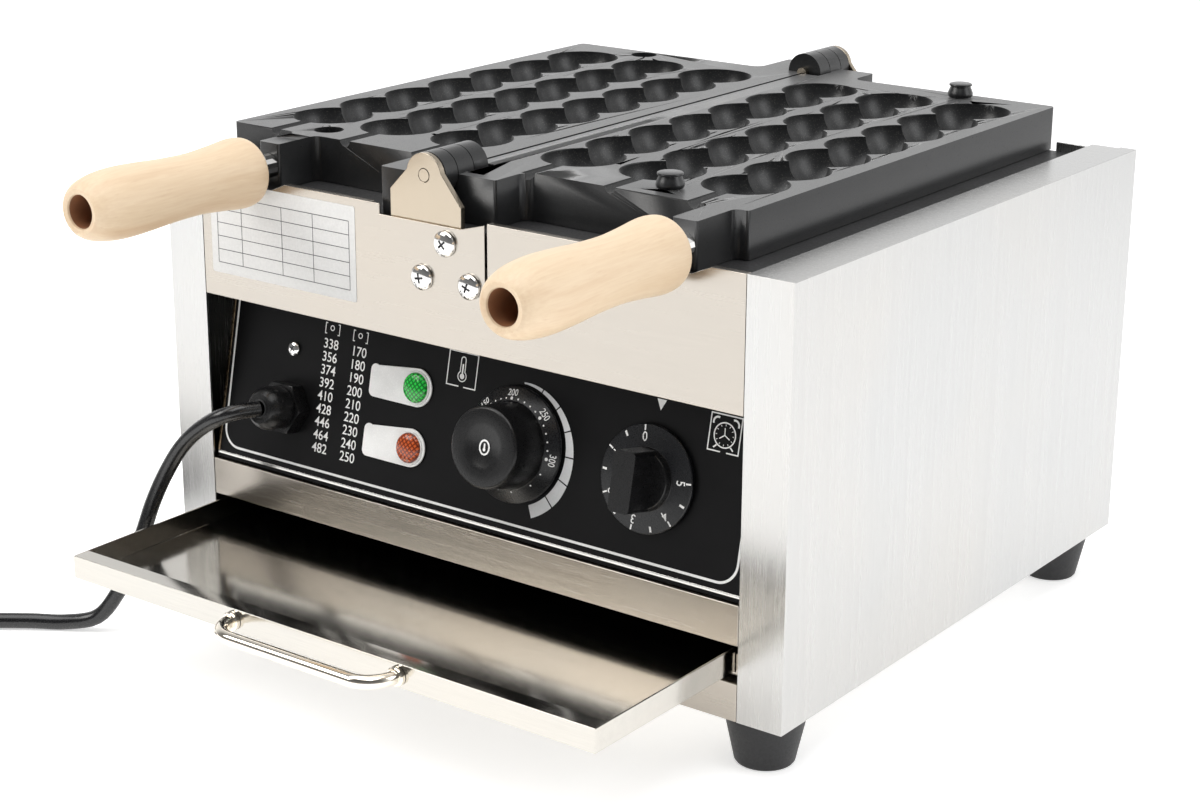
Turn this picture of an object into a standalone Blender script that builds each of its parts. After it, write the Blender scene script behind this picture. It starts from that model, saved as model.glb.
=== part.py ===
"""Ball waffle baker: two cast plates that fold over a shared hinge, on a stainless case."""
from math import atan2, ceil, cos, pi, radians, sin, sqrt

import bmesh
import bpy
from mathutils import Matrix, Vector

MM = 0.001

# Clearances
SEAT_GAP = 0.3 * MM
RUNNING_GAP = 0.5 * MM
BORE_GAP = 0.3 * MM
CUT_OVERRUN = 2 * MM
WELD_DISTANCE = 0.001 * MM

# Case: x runs right from its centre, y back from its front face, z up from the surface it stands on
CASE_WIDTH = 370 * MM
CASE_DEPTH = 327.6 * MM
CASE_HEIGHT = 206.3 * MM
SHEET = 1.2 * MM
POST_WIDTH = 23.7 * MM
LEFT_TOP_FLANGE = 9 * MM
REAR_RETURN = 9 * MM
BOTTOM_FLANGE = 45 * MM
BAND_HEIGHT = 63.1 * MM
BAND_LIP = 4 * MM
BAND_RETURN = 17 * MM
BAND_NOTCH_LEFT = 26.5 * MM
BAND_NOTCH_RIGHT = 36.6 * MM
BAND_NOTCH_DEPTH = 5 * MM
BAND_SLOPE_WIDTH = 14 * MM
BAND_SLOPE_RISE = 4 * MM
HANDLE_NOTCH_DEPTH = 4.3 * MM
HANDLE_NOTCH_FLOOR = 18 * MM
HANDLE_NOTCH_MOUTH = 38 * MM
RELIEF_SLIT_WIDTH = 1.5 * MM
RELIEF_SLIT_DEPTH = 46 * MM
DRAWER_SILL_HEIGHT = 18.4 * MM
DRAWER_OPENING_HEIGHT = 18.1 * MM
MIDDLE_RAIL_HEIGHT = 19.3 * MM
RAIL_RETURN = 14 * MM
BACK_STEP_CLEARANCE = 3 * MM
VENT_SLOTS = 7
VENT_SLOT_LENGTH = 60 * MM
VENT_SLOT_WIDTH = 5 * MM
VENT_SLOT_PITCH = 22 * MM

# Feet
FOOT_HEIGHT = 26 * MM
FOOT_TOP_RADIUS = 19 * MM
FOOT_BOTTOM_RADIUS = 13.75 * MM
FOOT_INSET = 22.5 * MM
FOOT_FLANGE_HEIGHT = 3 * MM
FOOT_RECESS_RADIUS = 7 * MM
FOOT_RECESS_DEPTH = 14 * MM
FOOT_BOLT_RADIUS = 3 * MM
FOOT_BOLT_HEAD_RADIUS = 6 * MM
FOOT_BOLT_HEAD_HEIGHT = 4 * MM
FOOT_BOLT_TAIL = 8 * MM

# Plates: u runs out from the hinge axis, the top faces meet at the axis when one is folded over
PLATE_LEFT_MARGIN = 12.5 * MM
PLATE_RIGHT_MARGIN = 47.1 * MM
PLATE_TOP_ABOVE_CASE = 16.6 * MM
PARTING_GAP = 0.4 * MM
PLATE_THICKNESS = 22.4 * MM
PLATE_FRONT = 36.1 * MM
PLATE_BACK_MARGIN = 0.2 * MM
PLATE_INNER_EDGE = 1.0 * MM
PLATE_EDGE_CHAMFER = 0.8 * MM
PLATE_CORNER_RADIUS = 3 * MM
CAVITY_RADIUS = 20.6 * MM
CAVITY_PITCH = 35.2 * MM
CAVITY_FRONT_MARGIN = 41.6 * MM
CAVITY_BACK_MARGIN = 38 * MM
ROW_PITCH = 46 * MM
FIRST_ROW = 34.2 * MM
LAST_ROW_MARGIN = 28.5 * MM
STICK_GROOVE_RADIUS = 3.3 * MM
CAVITY_ARC_POINTS = 5
CAVITY_SEGMENTS = 18
KNUCKLE_SEGMENTS = 16

# Hinge
KNUCKLE_RADIUS = 10.5 * MM
INNER_KNUCKLE = 10 * MM
MIDDLE_KNUCKLE = 11 * MM
KNUCKLE_INSET = 0.7 * MM
KNUCKLE_SWEEP_GAP = 0.7 * MM
PIN_RADIUS = 3 * MM
PIN_STUB = 2.4 * MM
LEFT_EAR_REACH = 29.5 * MM
RIGHT_EAR_REACH = 32 * MM
EAR_FILLET = 6 * MM
EAR_CORNER_RADIUS = 1.5 * MM
BRACKET_SHEET = 3 * MM
BRACKET_TAB_LEFT = 20.7 * MM
BRACKET_TAB_RIGHT = 21.8 * MM
BRACKET_SHOULDER_DROP = 10.5 * MM
BRACKET_FOOT_DROP = 60 * MM
BRACKET_FLANGE_LEFT = 30 * MM
BRACKET_FLANGE_RIGHT = 34 * MM
BRACKET_SHOULDER_BELOW_TOP = 3.5 * MM
BRACKET_SHELF_CLEARANCE = 2.5 * MM
SCREW_RADIUS = 2.5 * MM
SCREW_HEAD_RADIUS = 6.2 * MM
SCREW_HEAD_HEIGHT = 3 * MM
SCREW_TAIL = 3.5 * MM
SCREW_CROSS_LENGTH = 5 * MM
SCREW_CROSS_WIDTH = 1.1 * MM
SCREW_CROSS_DEPTH = 1.4 * MM
SCREW_TRIANGLE_HALF_WIDTH = 14.15 * MM
SCREW_TRIANGLE_CENTRE = 13.8 * MM
SCREW_UPPER_DROP = 13 * MM
REAR_SCREWS_LOWERED = 11 * MM
SCREW_TRIANGLE_HEIGHT = 18.1 * MM

# A pan head's crown: shares of its radius, and of its height
SCREW_CROWN_SHARES = ((0, 1), (0.6, 0.88), (1, 0.3))

# Dowels that line the closed plates up
DOWEL_MARGIN = 51.5 * MM
DOWEL_FRONT_MARGIN = 14 * MM
DOWEL_BACK_MARGIN = 9 * MM
DOWEL_SHANK_RADIUS = 3 * MM
DOWEL_SHANK_DEPTH = 12 * MM
DOWEL_NECK_RADIUS = 4.9 * MM
DOWEL_WIDEST_RADIUS = 6.7 * MM
DOWEL_TOP_RADIUS = 5.6 * MM
DOWEL_HEIGHT = 9.2 * MM
DOWEL_NECK_SHARE = 0.3
DOWEL_FLARE_SHARE = 0.5
DOWEL_CHAMFER_SHARE = 0.85
DOWEL_HOLE_RADIUS = 7.5 * MM
DOWEL_HOLE_DEPTH = 11.5 * MM

# Handles
RIGHT_BOSS_MARGIN = 13.7 * MM
LEFT_BOSS_MARGIN = 49.1 * MM
BOSS_WIDTH = 13.2 * MM
RIGHT_BOSS_REACH = 29.1 * MM
LEFT_BOSS_REACH = 26.1 * MM
BOSS_FILLET = 4 * MM
HANDLE_LENGTH = 105.5 * MM
HANDLE_GAP = 15.5 * MM
HANDLE_RADIUS = 17 * MM
HANDLE_MOUTH_RADIUS = 7.8 * MM
HANDLE_MOUTH_DEPTH = 70 * MM
HANDLE_BOLT_RADIUS = 4 * MM
HANDLE_BOLT_DEPTH = 20 * MM
HANDLE_BOLT_HEAD_RADIUS = 6.5 * MM
HANDLE_BOLT_HEAD_HEIGHT = 6 * MM
LOCK_NUT_FLATS = 17 * MM
LOCK_NUT_HEIGHT = 4.5 * MM
SLEEVE_RADIUS = 6 * MM

# The turned handle: shares of its length from the ferrule, and shares of its largest radius
HANDLE_PROFILE_SHARES = (
    (0.0, 0.86), (0.03, 0.98), (0.09, 1.0), (0.2, 0.93), (0.34, 0.87), (0.5, 0.89), (0.65, 0.95), (0.78, 0.975),
    (0.88, 0.93), (0.95, 0.83), (1.0, 0.64))

# Heater pan under the plates, and its two tubular elements
PAN_FRONT = 6 * MM
WELL_DEPTH = 34 * MM
WELL_MARGIN = 12 * MM
ELEMENT_RADIUS = 4 * MM
ELEMENT_HEIGHT_ABOVE_WELL = 18 * MM
ELEMENT_LEGS = 4
ELEMENT_SIDE_MARGIN = 17.6 * MM
ELEMENT_FRONT_LEAD = 9 * MM
ELEMENT_END_MARGIN = 24 * MM

# Control panel: x to the right, s up its slope from its datum, h out from its face
PANEL_TILT = 12
PANEL_DATUM_DEPTH = 2.5 * MM
PANEL_DATUM_HEIGHT = 58 * MM
PANEL_SIDE_GAP = 0.8 * MM
PANEL_THICKNESS = 1.5 * MM
PANEL_TOP = 89 * MM
PANEL_BOTTOM = -1.6 * MM
TEMPERATURE_DIAL_X = 28 * MM
TIMER_DIAL_X = 104.5 * MM
DIAL_HEIGHT = 42.5 * MM
KNOB_LIFT = 0.8 * MM
TEMPERATURE_SKIRT_RADIUS = 27.6 * MM
TEMPERATURE_SKIRT_EDGE = 2.6 * MM
TEMPERATURE_SKIRT_CREST = 5.4 * MM
TEMPERATURE_KNOB_ROOT_RADIUS = 20.4 * MM
TEMPERATURE_KNOB_FACE_RADIUS = 19.2 * MM
TEMPERATURE_KNOB_HEIGHT = 25 * MM
KNOB_EDGE_RADIUS = 1.4 * MM
KNOB_DISH_RADIUS = 10.5 * MM
KNOB_DISH_DEPTH = 1.6 * MM
TIMER_SKIRT_RADIUS = 25 * MM
TIMER_SKIRT_EDGE = 3 * MM
TIMER_SKIRT_CREST = 4 * MM
TIMER_HUB_RADIUS = 14.6 * MM
TIMER_HUB_HEIGHT = 7 * MM
TIMER_GRIP_WIDTH = 11.5 * MM
TIMER_GRIP_LENGTH = 28 * MM
TIMER_GRIP_HEIGHT = 22 * MM
SPINDLE_RADIUS = 3 * MM
SPINDLE_IN_KNOB = 14 * MM
SPINDLE_IN_UNIT = 9 * MM
BUSH_RADIUS = 5 * MM
THERMOSTAT_WIDTH = 40 * MM
THERMOSTAT_DEPTH = 32 * MM
TIMER_UNIT_WIDTH = 46 * MM
TIMER_UNIT_DEPTH = 38 * MM

# Lamps
LAMP_PLATE_LEFT = -64.2 * MM
LAMP_PLATE_LENGTH = 39.1 * MM
LAMP_PLATE_HEIGHT = 18.8 * MM
LAMP_PLATE_THICKNESS = 0.9 * MM
LAMP_PLATE_CORNER = 3 * MM
POWER_LAMP_S = 57.6 * MM
HEAT_LAMP_S = 28.1 * MM
LAMP_LENS_RADIUS = 7.1 * MM
LAMP_LENS_HEIGHT = 3 * MM
LAMP_LENS_EDGE_SHARE = 0.35
LAMP_STEM_RADIUS = 4.5 * MM
LAMP_STEM_LENGTH = 14 * MM

# Panel screw
PANEL_SCREW_X = -116 * MM
PANEL_SCREW_S = 61.9 * MM
PANEL_SCREW_RADIUS = 1.75 * MM
PANEL_SCREW_HEAD_RADIUS = 3.75 * MM
PANEL_SCREW_HEAD_HEIGHT = 2 * MM
PANEL_SCREW_TAIL = 6 * MM
PANEL_SCREW_CROSS_LENGTH = 3.4 * MM
PANEL_SCREW_CROSS_WIDTH = 0.7 * MM
PANEL_SCREW_CROSS_DEPTH = 0.9 * MM

# Cable gland
GLAND_X = -115 * MM
GLAND_S = 32.5 * MM
GLAND_FLATS = 24 * MM
GLAND_BODY_HEIGHT = 8 * MM
GLAND_THREAD_RADIUS = 7.7 * MM
GLAND_THREAD_LENGTH = 9 * MM
GLAND_BORE_RADIUS = 4.7 * MM
DOME_ROOT_RADIUS = 11 * MM
DOME_TIP_RADIUS = 8.3 * MM
DOME_HEIGHT = 13.4 * MM
DOME_COLLAR = 6 * MM
DOME_CREST_SHARE = 0.72

# Cord, coil and plug
CORD_RADIUS = 4 * MM
CORD_REST_GAP = 0.1 * MM
CORD_SPACING = 18 * MM
COIL_RADIUS = 55 * MM
COIL_TURNS = 3.125
COIL_POINTS_PER_TURN = 24
COIL_PITCH = 9.2 * MM
COIL_LAYER = 9 * MM
COIL_LEAD = 8.5 * MM
COIL_TAIL = 56 * MM
PLUG_LENGTH = 38 * MM
PLUG_RADIUS = 18.5 * MM
PLUG_COLLAR_RADIUS = 7.5 * MM
PLUG_COLLAR_LENGTH = 18 * MM
PLUG_PIN_RADIUS = 2.4 * MM
PLUG_PIN_LENGTH = 19 * MM
PLUG_PIN_SPACING = 19 * MM
# The plug's outline past its collar's tip: shares of the collar's and the body's radius and length
PLUG_COLLAR_TIP_SHARE = 0.8
PLUG_COLLAR_SWELL_SHARE = 0.7
PLUG_SHOULDER_SHARE = 0.75
PLUG_TAPER_SHARE = 0.45

# Drip tray, drawn out by its slide
TRAY_SIDE_CLEARANCE = 3.8 * MM
TRAY_HEIGHT = 11.6 * MM
TRAY_BACK_CLEARANCE = 27.6 * MM
TRAY_SHEET = 1 * MM
TRAY_DRAWN_OUT = 99.5 * MM
TRAY_CLEARANCE_BELOW = 4.1 * MM
TRAY_RIM = 9 * MM
PULL_SPREAD = 50 * MM
PULL_REACH = 16 * MM
PULL_RADIUS = 3.3 * MM
PULL_BEND = 14 * MM
PULL_FOOT_RADIUS = 4.6 * MM
PULL_FOOT_LENGTH = 2.5 * MM
RUNNER_SHEET = 1.5 * MM
RUNNER_WEB = 16 * MM
RUNNER_LEDGE = 12 * MM
RUNNER_FIN = 9 * MM
RUNNER_FRONT = 4 * MM

# Levels and lines worked out from the values above
CASE_BOTTOM = FOOT_HEIGHT
CASE_TOP = CASE_BOTTOM + CASE_HEIGHT
HALF_WIDTH = CASE_WIDTH / 2
POST_EDGE = HALF_WIDTH - POST_WIDTH
INNER_WALL = HALF_WIDTH - SHEET
SILL_TOP = CASE_BOTTOM + DRAWER_SILL_HEIGHT
OPENING_TOP = SILL_TOP + DRAWER_OPENING_HEIGHT
MIDDLE_RAIL_TOP = OPENING_TOP + MIDDLE_RAIL_HEIGHT
PANEL_HALF_WIDTH = POST_EDGE - PANEL_SIDE_GAP
TRAY_HALF_WIDTH = POST_EDGE - TRAY_SIDE_CLEARANCE
TRAY_LENGTH = CASE_DEPTH - TRAY_BACK_CLEARANCE
PLATE_WIDTH = (CASE_WIDTH - PLATE_LEFT_MARGIN - PLATE_RIGHT_MARGIN) / 2
PLATE_LENGTH = CASE_DEPTH - PLATE_BACK_MARGIN - PLATE_FRONT
HINGE_OFFSET = PLATE_LEFT_MARGIN + PLATE_WIDTH - HALF_WIDTH
ROWS = int((PLATE_WIDTH - FIRST_ROW - LAST_ROW_MARGIN) / ROW_PITCH) + 1
CAVITIES_PER_ROW = int((PLATE_LENGTH - CAVITY_FRONT_MARGIN - CAVITY_BACK_MARGIN) / CAVITY_PITCH) + 1
DOWEL_OFFSET = PLATE_WIDTH - DOWEL_MARGIN
RIGHT_BOSS_OFFSET = PLATE_WIDTH - RIGHT_BOSS_MARGIN
LEFT_BOSS_OFFSET = PLATE_WIDTH - LEFT_BOSS_MARGIN
ELEMENT_LEG_PITCH = (PLATE_WIDTH - 2 * WELL_MARGIN - 2 * ELEMENT_SIDE_MARGIN) / (ELEMENT_LEGS - 1)
PLATE_TOP = CASE_TOP + PLATE_TOP_ABOVE_CASE
PLATE_BOTTOM = PLATE_TOP - PLATE_THICKNESS
PLATE_BACK = PLATE_FRONT + PLATE_LENGTH
HINGE_HEIGHT = PLATE_TOP + PARTING_GAP / 2
DECK_TOP = PLATE_BOTTOM - SEAT_GAP
BRACKET_OUTER = PLATE_FRONT - SHEET - SEAT_GAP
BRACKET_INNER = BRACKET_OUTER - BRACKET_SHEET
MIDDLE_KNUCKLE_START = KNUCKLE_INSET + INNER_KNUCKLE + RUNNING_GAP
MIDDLE_KNUCKLE_END = MIDDLE_KNUCKLE_START + MIDDLE_KNUCKLE
OUTER_KNUCKLE_START = MIDDLE_KNUCKLE_END + RUNNING_GAP
OUTER_KNUCKLE_END = BRACKET_INNER - RUNNING_GAP
SWEEP_RADIUS = KNUCKLE_RADIUS + KNUCKLE_SWEEP_GAP
PIN_BORE = PIN_RADIUS + BORE_GAP
HANDLE_DROP = PARTING_GAP / 2 + PLATE_THICKNESS / 2
BACK_PANEL_OUTER = CASE_DEPTH - SHEET - SEAT_GAP
TRAY_BOTTOM = SILL_TOP + TRAY_CLEARANCE_BELOW
PULL_FRONT = TRAY_DRAWN_OUT + PULL_REACH + PULL_RADIUS
RIGHT_HANDLE_FRONT = RIGHT_BOSS_REACH + HANDLE_GAP + HANDLE_LENGTH - PLATE_FRONT
FRONTMOST = -max(PULL_FRONT, RIGHT_HANDLE_FRONT)
REARMOST = PLATE_BACK + BRACKET_OUTER
FOOTPRINT_SHIFT = -(FRONTMOST + REARMOST) / 2

# The cord's route from the gland to its coil, chosen by eye: x, y, and z above the surface
CORD_ROUTE = [
    (-116.0 * MM, -20.5 * MM, 121.9 * MM),
    (-121.4 * MM, -26.0 * MM, 120.3 * MM),
    (-129.0 * MM, -28.5 * MM, 116.2 * MM),
    (-139.6 * MM, -30.6 * MM, 109.2 * MM),
    (-149.2 * MM, -32.3 * MM, 99.6 * MM),
    (-156.2 * MM, -34.6 * MM, 88.8 * MM),
    (-161.0 * MM, -37.5 * MM, 78.2 * MM),
    (-164.7 * MM, -40.8 * MM, 67.0 * MM),
    (-166.6 * MM, -44.2 * MM, 56.8 * MM),
    (-168.2 * MM, -47.9 * MM, 46.4 * MM),
    (-171.0 * MM, -51.9 * MM, 35.6 * MM),
    (-174.8 * MM, -55.6 * MM, 25.0 * MM),
    (-179.6 * MM, -58.8 * MM, 15.2 * MM),
    (-187.0 * MM, -62.6 * MM, 7.4 * MM),
    (-198.0 * MM, -68.6 * MM, 4.2 * MM),
    (-216.0 * MM, -80.5 * MM, 4.1 * MM),
    (-240.0 * MM, -98.0 * MM, 4.1 * MM),
    (-266.0 * MM, -116.8 * MM, 4.1 * MM),
    (-292.0 * MM, -135.4 * MM, 4.1 * MM),
    (-300.0 * MM, -141.1 * MM, 4.1 * MM)]


def clear_scene():
    for obj in list(bpy.data.objects):
        bpy.data.objects.remove(obj, do_unlink=True)


def material(name, colour, roughness, metallic=0.0):
    made = bpy.data.materials.get(name)
    if made is None:
        made = bpy.data.materials.new(name)
        made.use_nodes = True
        shader = made.node_tree.nodes["Principled BSDF"]
        shader.inputs["Base Color"].default_value = (*colour, 1.0)
        shader.inputs["Roughness"].default_value = roughness
        shader.inputs["Metallic"].default_value = metallic
    return made


def stainless():
    return material("stainless_steel", (0.72, 0.69, 0.64), 0.3, 1.0)


def cast_black():
    return material("black_cast", (0.035, 0.036, 0.038), 0.45, 0.3)


def beech():
    return material("beech", (0.78, 0.58, 0.38), 0.55)


def chrome():
    return material("chrome", (0.86, 0.86, 0.86), 0.12, 1.0)


def black_plastic():
    return material("black_plastic", (0.02, 0.02, 0.022), 0.4)


def black_rubber():
    return material("black_rubber", (0.025, 0.025, 0.027), 0.7)


def panel_black():
    return material("panel_black", (0.018, 0.018, 0.02), 0.35)


def dark_enamel():
    return material("dark_enamel", (0.06, 0.06, 0.062), 0.55, 0.2)


def link(name, mesh, parent, look):
    obj = bpy.data.objects.new(name, mesh)
    bpy.context.scene.collection.objects.link(obj)
    obj.parent = parent
    if look is not None:
        mesh.materials.clear()
        mesh.materials.append(look)
    return obj


def empty(name, parent=None):
    obj = bpy.data.objects.new(name, None)
    bpy.context.scene.collection.objects.link(obj)
    obj.parent = parent
    return obj


def mesh_from(bm, name):
    bmesh.ops.remove_doubles(bm, verts=bm.verts, dist=WELD_DISTANCE)
    bmesh.ops.recalc_face_normals(bm, faces=bm.faces)
    mesh = bpy.data.meshes.new(name)
    bm.to_mesh(mesh)
    bm.free()
    return mesh


def box(low, high):
    """A box between two corners."""
    bm = bmesh.new()
    bmesh.ops.create_cube(bm, size=1)
    low, high = Vector(low), Vector(high)
    size = high - low
    bmesh.ops.scale(bm, vec=size, verts=bm.verts)
    bmesh.ops.translate(bm, vec=(low + high) / 2, verts=bm.verts)
    return mesh_from(bm, "box")


def prism(outline, start, end, chamfer=0.0):
    """An outline in x and y pushed from z = start to z = end, with its top edge chamfered if asked."""
    bm = bmesh.new()
    face = bm.faces.new([bm.verts.new((x, y, start)) for x, y in outline])
    moved = bmesh.ops.extrude_face_region(bm, geom=[face])
    top = [item for item in moved["geom"] if isinstance(item, bmesh.types.BMVert)]
    bmesh.ops.translate(bm, vec=(0, 0, end - start), verts=top)
    if chamfer:
        top_edges = [edge for edge in bm.edges if all(vert in top for vert in edge.verts)]
        bmesh.ops.bevel(bm, geom=top_edges, offset=chamfer, segments=1, affect="EDGES")
    return mesh_from(bm, "prism")


def lathe(profile, segments):
    """A closed turned solid about z from (radius, z) points that start and end on the axis or close a ring."""
    bm = bmesh.new()
    verts = [bm.verts.new((radius, 0, z)) for radius, z in profile]
    edges = [bm.edges.new(pair) for pair in zip(verts, verts[1:])]
    if profile[0][0] > 0:
        edges.append(bm.edges.new((verts[-1], verts[0])))
    bmesh.ops.spin(bm, geom=verts + edges, cent=(0, 0, 0), axis=(0, 0, 1), angle=2 * pi, steps=segments)
    mesh = mesh_from(bm, "lathe")
    mesh.shade_smooth()
    mesh.set_sharp_from_angle(angle=radians(35))
    return mesh


def rod(radius, start, end, segments=16):
    return lathe([(0, start), (radius, start), (radius, end), (0, end)], segments)


def turned(mesh, matrix):
    mesh.transform(matrix)
    return mesh


ALONG_Y = Matrix.Rotation(-pi / 2, 4, "X")


def moved(mesh, x, y, z):
    return turned(mesh, Matrix.Translation((x, y, z)))


def hexagon(flats, turn=0.0):
    corner = flats / sqrt(3)
    return [(corner * cos(turn + i * pi / 3), corner * sin(turn + i * pi / 3)) for i in range(6)]


def arc(centre, radius, start, end, points):
    """Points on an arc, its ends included; angles in degrees."""
    angles = [radians(start + (end - start) * i / (points - 1)) for i in range(points)]
    return [(centre[0] + radius * cos(a), centre[1] + radius * sin(a)) for a in angles]


def rounded(corners, steps=3):
    """An outline from (x, y, radius) corners, each rounded by its own radius."""
    outline = []
    count = len(corners)
    for i, (x, y, radius) in enumerate(corners):
        here = Vector((x, y))
        if radius <= 0:
            outline.append((x, y))
            continue
        before = (Vector(corners[i - 1][:2]) - here).normalized()
        after = (Vector(corners[(i + 1) % count][:2]) - here).normalized()
        half = before.angle(after) / 2
        centre = here + (before + after).normalized() * radius / sin(half)
        first = here + before * radius * cos(half) / sin(half) - centre
        last = here + after * radius * cos(half) / sin(half) - centre
        start = atan2(first.y, first.x)
        sweep = (atan2(last.y, last.x) - start + pi) % (2 * pi) - pi
        for k in range(steps + 1):
            angle = start + sweep * k / steps
            outline.append((centre.x + radius * cos(angle), centre.y + radius * sin(angle)))
    return outline


def combine(obj, tools, operation):
    """Cut or join meshes into an object with exact Booleans, then keep only the result."""
    helpers = []
    for mesh in tools:
        helper = link("helper", mesh, obj.parent, None)
        helper.matrix_basis = obj.matrix_basis
        helper.hide_render = True
        helper.display_type = "WIRE"
        modifier = obj.modifiers.new("shape", "BOOLEAN")
        modifier.operation = operation
        modifier.solver = "EXACT"
        modifier.object = helper
        helpers.append(helper)
    bpy.context.view_layer.update()
    shaped = obj.evaluated_get(bpy.context.evaluated_depsgraph_get())
    result = bpy.data.meshes.new_from_object(shaped)
    obj.modifiers.clear()
    obj.data = result
    for helper in helpers:
        bpy.data.objects.remove(helper, do_unlink=True)
    return obj


def cut(obj, *tools):
    return combine(obj, tools, "DIFFERENCE")


def join(obj, *tools):
    return combine(obj, tools, "UNION")


def tube(name, points, radius, parent, look, resolution):
    """A round tube with closed ends along a line of points."""
    curve = bpy.data.curves.new(name, "CURVE")
    curve.dimensions = "3D"
    curve.bevel_depth = radius
    curve.bevel_resolution = resolution
    curve.use_fill_caps = True
    spline = curve.splines.new("POLY")
    spline.points.add(len(points) - 1)
    for point, place in zip(spline.points, points):
        point.co = (*place, 1)
    obj = bpy.data.objects.new(name, curve)
    bpy.context.scene.collection.objects.link(obj)
    obj.parent = parent
    curve.materials.append(look)
    return obj


def solid_tube(name, points, radius, parent, look, resolution):
    """The same tube as a mesh, for a piece that is cut or joined afterwards."""
    source = tube(name + "_line", points, radius, None, look, resolution)
    bpy.context.view_layer.update()
    shaped = source.evaluated_get(bpy.context.evaluated_depsgraph_get())
    mesh = bpy.data.meshes.new_from_object(shaped)
    bpy.data.objects.remove(source, do_unlink=True)
    return link(name, mesh, parent, look)


def smooth_route(points, spacing):
    """Evenly spaced points on a smooth curve through the route's own points."""
    points = [Vector(p) for p in points]
    guide = [2 * points[0] - points[1], *points, 2 * points[-1] - points[-2]]
    fine = [points[0]]
    steps = 24
    for a, b, c, d in zip(guide, guide[1:], guide[2:], guide[3:]):
        for k in range(1, steps + 1):
            t = k / steps
            fine.append(0.5 * (2 * b + (c - a) * t + (2 * a - 5 * b + 4 * c - d) * t ** 2
                               + (3 * b - a - 3 * c + d) * t ** 3))
    lengths = [0.0]
    for a, b in zip(fine, fine[1:]):
        lengths.append(lengths[-1] + (b - a).length)
    count = ceil(lengths[-1] / spacing)
    places = []
    index = 0
    for i in range(count + 1):
        wanted = lengths[-1] * i / count
        while index < len(lengths) - 2 and lengths[index + 1] < wanted:
            index += 1
        share = (wanted - lengths[index]) / (lengths[index + 1] - lengths[index])
        places.append(fine[index].lerp(fine[index + 1], share))
    return places


def side_panel(name, side, top_flange, root):
    """Folded side wall with its front post, rear return, top flange and bottom flange."""
    def span(inner, outer):
        return (min(side * inner, side * outer), max(side * inner, side * outer))

    def block(inner, outer, y_low, y_high, z_low, z_high):
        x_low, x_high = span(inner, outer)
        return box((x_low, y_low, z_low), (x_high, y_high, z_high))

    flange_edge = HALF_WIDTH - BOTTOM_FLANGE
    past = flange_edge - CUT_OVERRUN
    floor = CASE_BOTTOM + SHEET
    above = CASE_TOP + CUT_OVERRUN
    behind = CASE_DEPTH + CUT_OVERRUN
    before = -CUT_OVERRUN
    panel = link(name, block(flange_edge, HALF_WIDTH, 0, CASE_DEPTH, CASE_BOTTOM, CASE_TOP), root, stainless())
    cut(panel,
        block(past, INNER_WALL, SHEET, CASE_DEPTH - SHEET, floor, CASE_TOP - SHEET),
        block(past, POST_EDGE, before, behind, floor, above),
        block(past, POST_EDGE, before, SHEET + SEAT_GAP, CASE_BOTTOM - CUT_OVERRUN, above),
        block(past, HALF_WIDTH - REAR_RETURN, CASE_DEPTH - 2 * SHEET, behind, floor, above))
    if top_flange < POST_WIDTH:
        cut(panel, block(past, HALF_WIDTH - top_flange, SHEET, behind, CASE_TOP - 2 * SHEET, above))
    for y in (FOOT_INSET, CASE_DEPTH - FOOT_INSET):
        hole = rod(FOOT_BOLT_RADIUS + BORE_GAP, CASE_BOTTOM - CUT_OVERRUN, floor + CUT_OVERRUN)
        cut(panel, moved(hole, side * (HALF_WIDTH - FOOT_INSET), y, 0))
    return panel


def back_panel(root):
    """Back sheet, stepped down behind the plates that overhang it."""
    half = INNER_WALL - SEAT_GAP
    front = BACK_PANEL_OUTER - SHEET
    low = CASE_BOTTOM + 2 * SHEET + 2 * SEAT_GAP
    step_height = DECK_TOP - SEAT_GAP
    step_right = HINGE_OFFSET + PLATE_WIDTH + BACK_STEP_CLEARANCE
    panel = link("back_panel", box((-half, front, low), (half, BACK_PANEL_OUTER, CASE_TOP - SHEET - SEAT_GAP)),
                 root, stainless())
    cut(panel, box((-half - CUT_OVERRUN, front - CUT_OVERRUN, step_height),
                   (step_right, BACK_PANEL_OUTER + CUT_OVERRUN, CASE_TOP + CUT_OVERRUN)))
    for x, z in bracket_screw_places(REAR_SCREWS_LOWERED):
        hole = turned(rod(SCREW_RADIUS + BORE_GAP, front - CUT_OVERRUN, BACK_PANEL_OUTER + CUT_OVERRUN, 12), ALONG_Y)
        cut(panel, moved(hole, x, 0, z))
    return panel


def base_pan(root):
    """Bottom sheet over the side panels' flanges, with vent slots and holes for the feet's bolts."""
    half = INNER_WALL - SEAT_GAP
    low = CASE_BOTTOM + SHEET + SEAT_GAP
    pan = link("base_pan", box((-half, SHEET + SEAT_GAP, low), (half, BACK_PANEL_OUTER - SHEET, low + SHEET)),
               root, stainless())
    tools = []
    for i in range(VENT_SLOTS):
        x = (i - (VENT_SLOTS - 1) / 2) * VENT_SLOT_PITCH
        y = CASE_DEPTH / 2
        tools.append(box((x - VENT_SLOT_WIDTH / 2, y - VENT_SLOT_LENGTH / 2, low - CUT_OVERRUN),
                         (x + VENT_SLOT_WIDTH / 2, y + VENT_SLOT_LENGTH / 2, low + SHEET + CUT_OVERRUN)))
    for x, y in foot_places():
        hole = rod(FOOT_BOLT_RADIUS + BORE_GAP, low - CUT_OVERRUN, low + SHEET + CUT_OVERRUN)
        tools.append(moved(hole, x, y, 0))
    return cut(pan, *tools)


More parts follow.
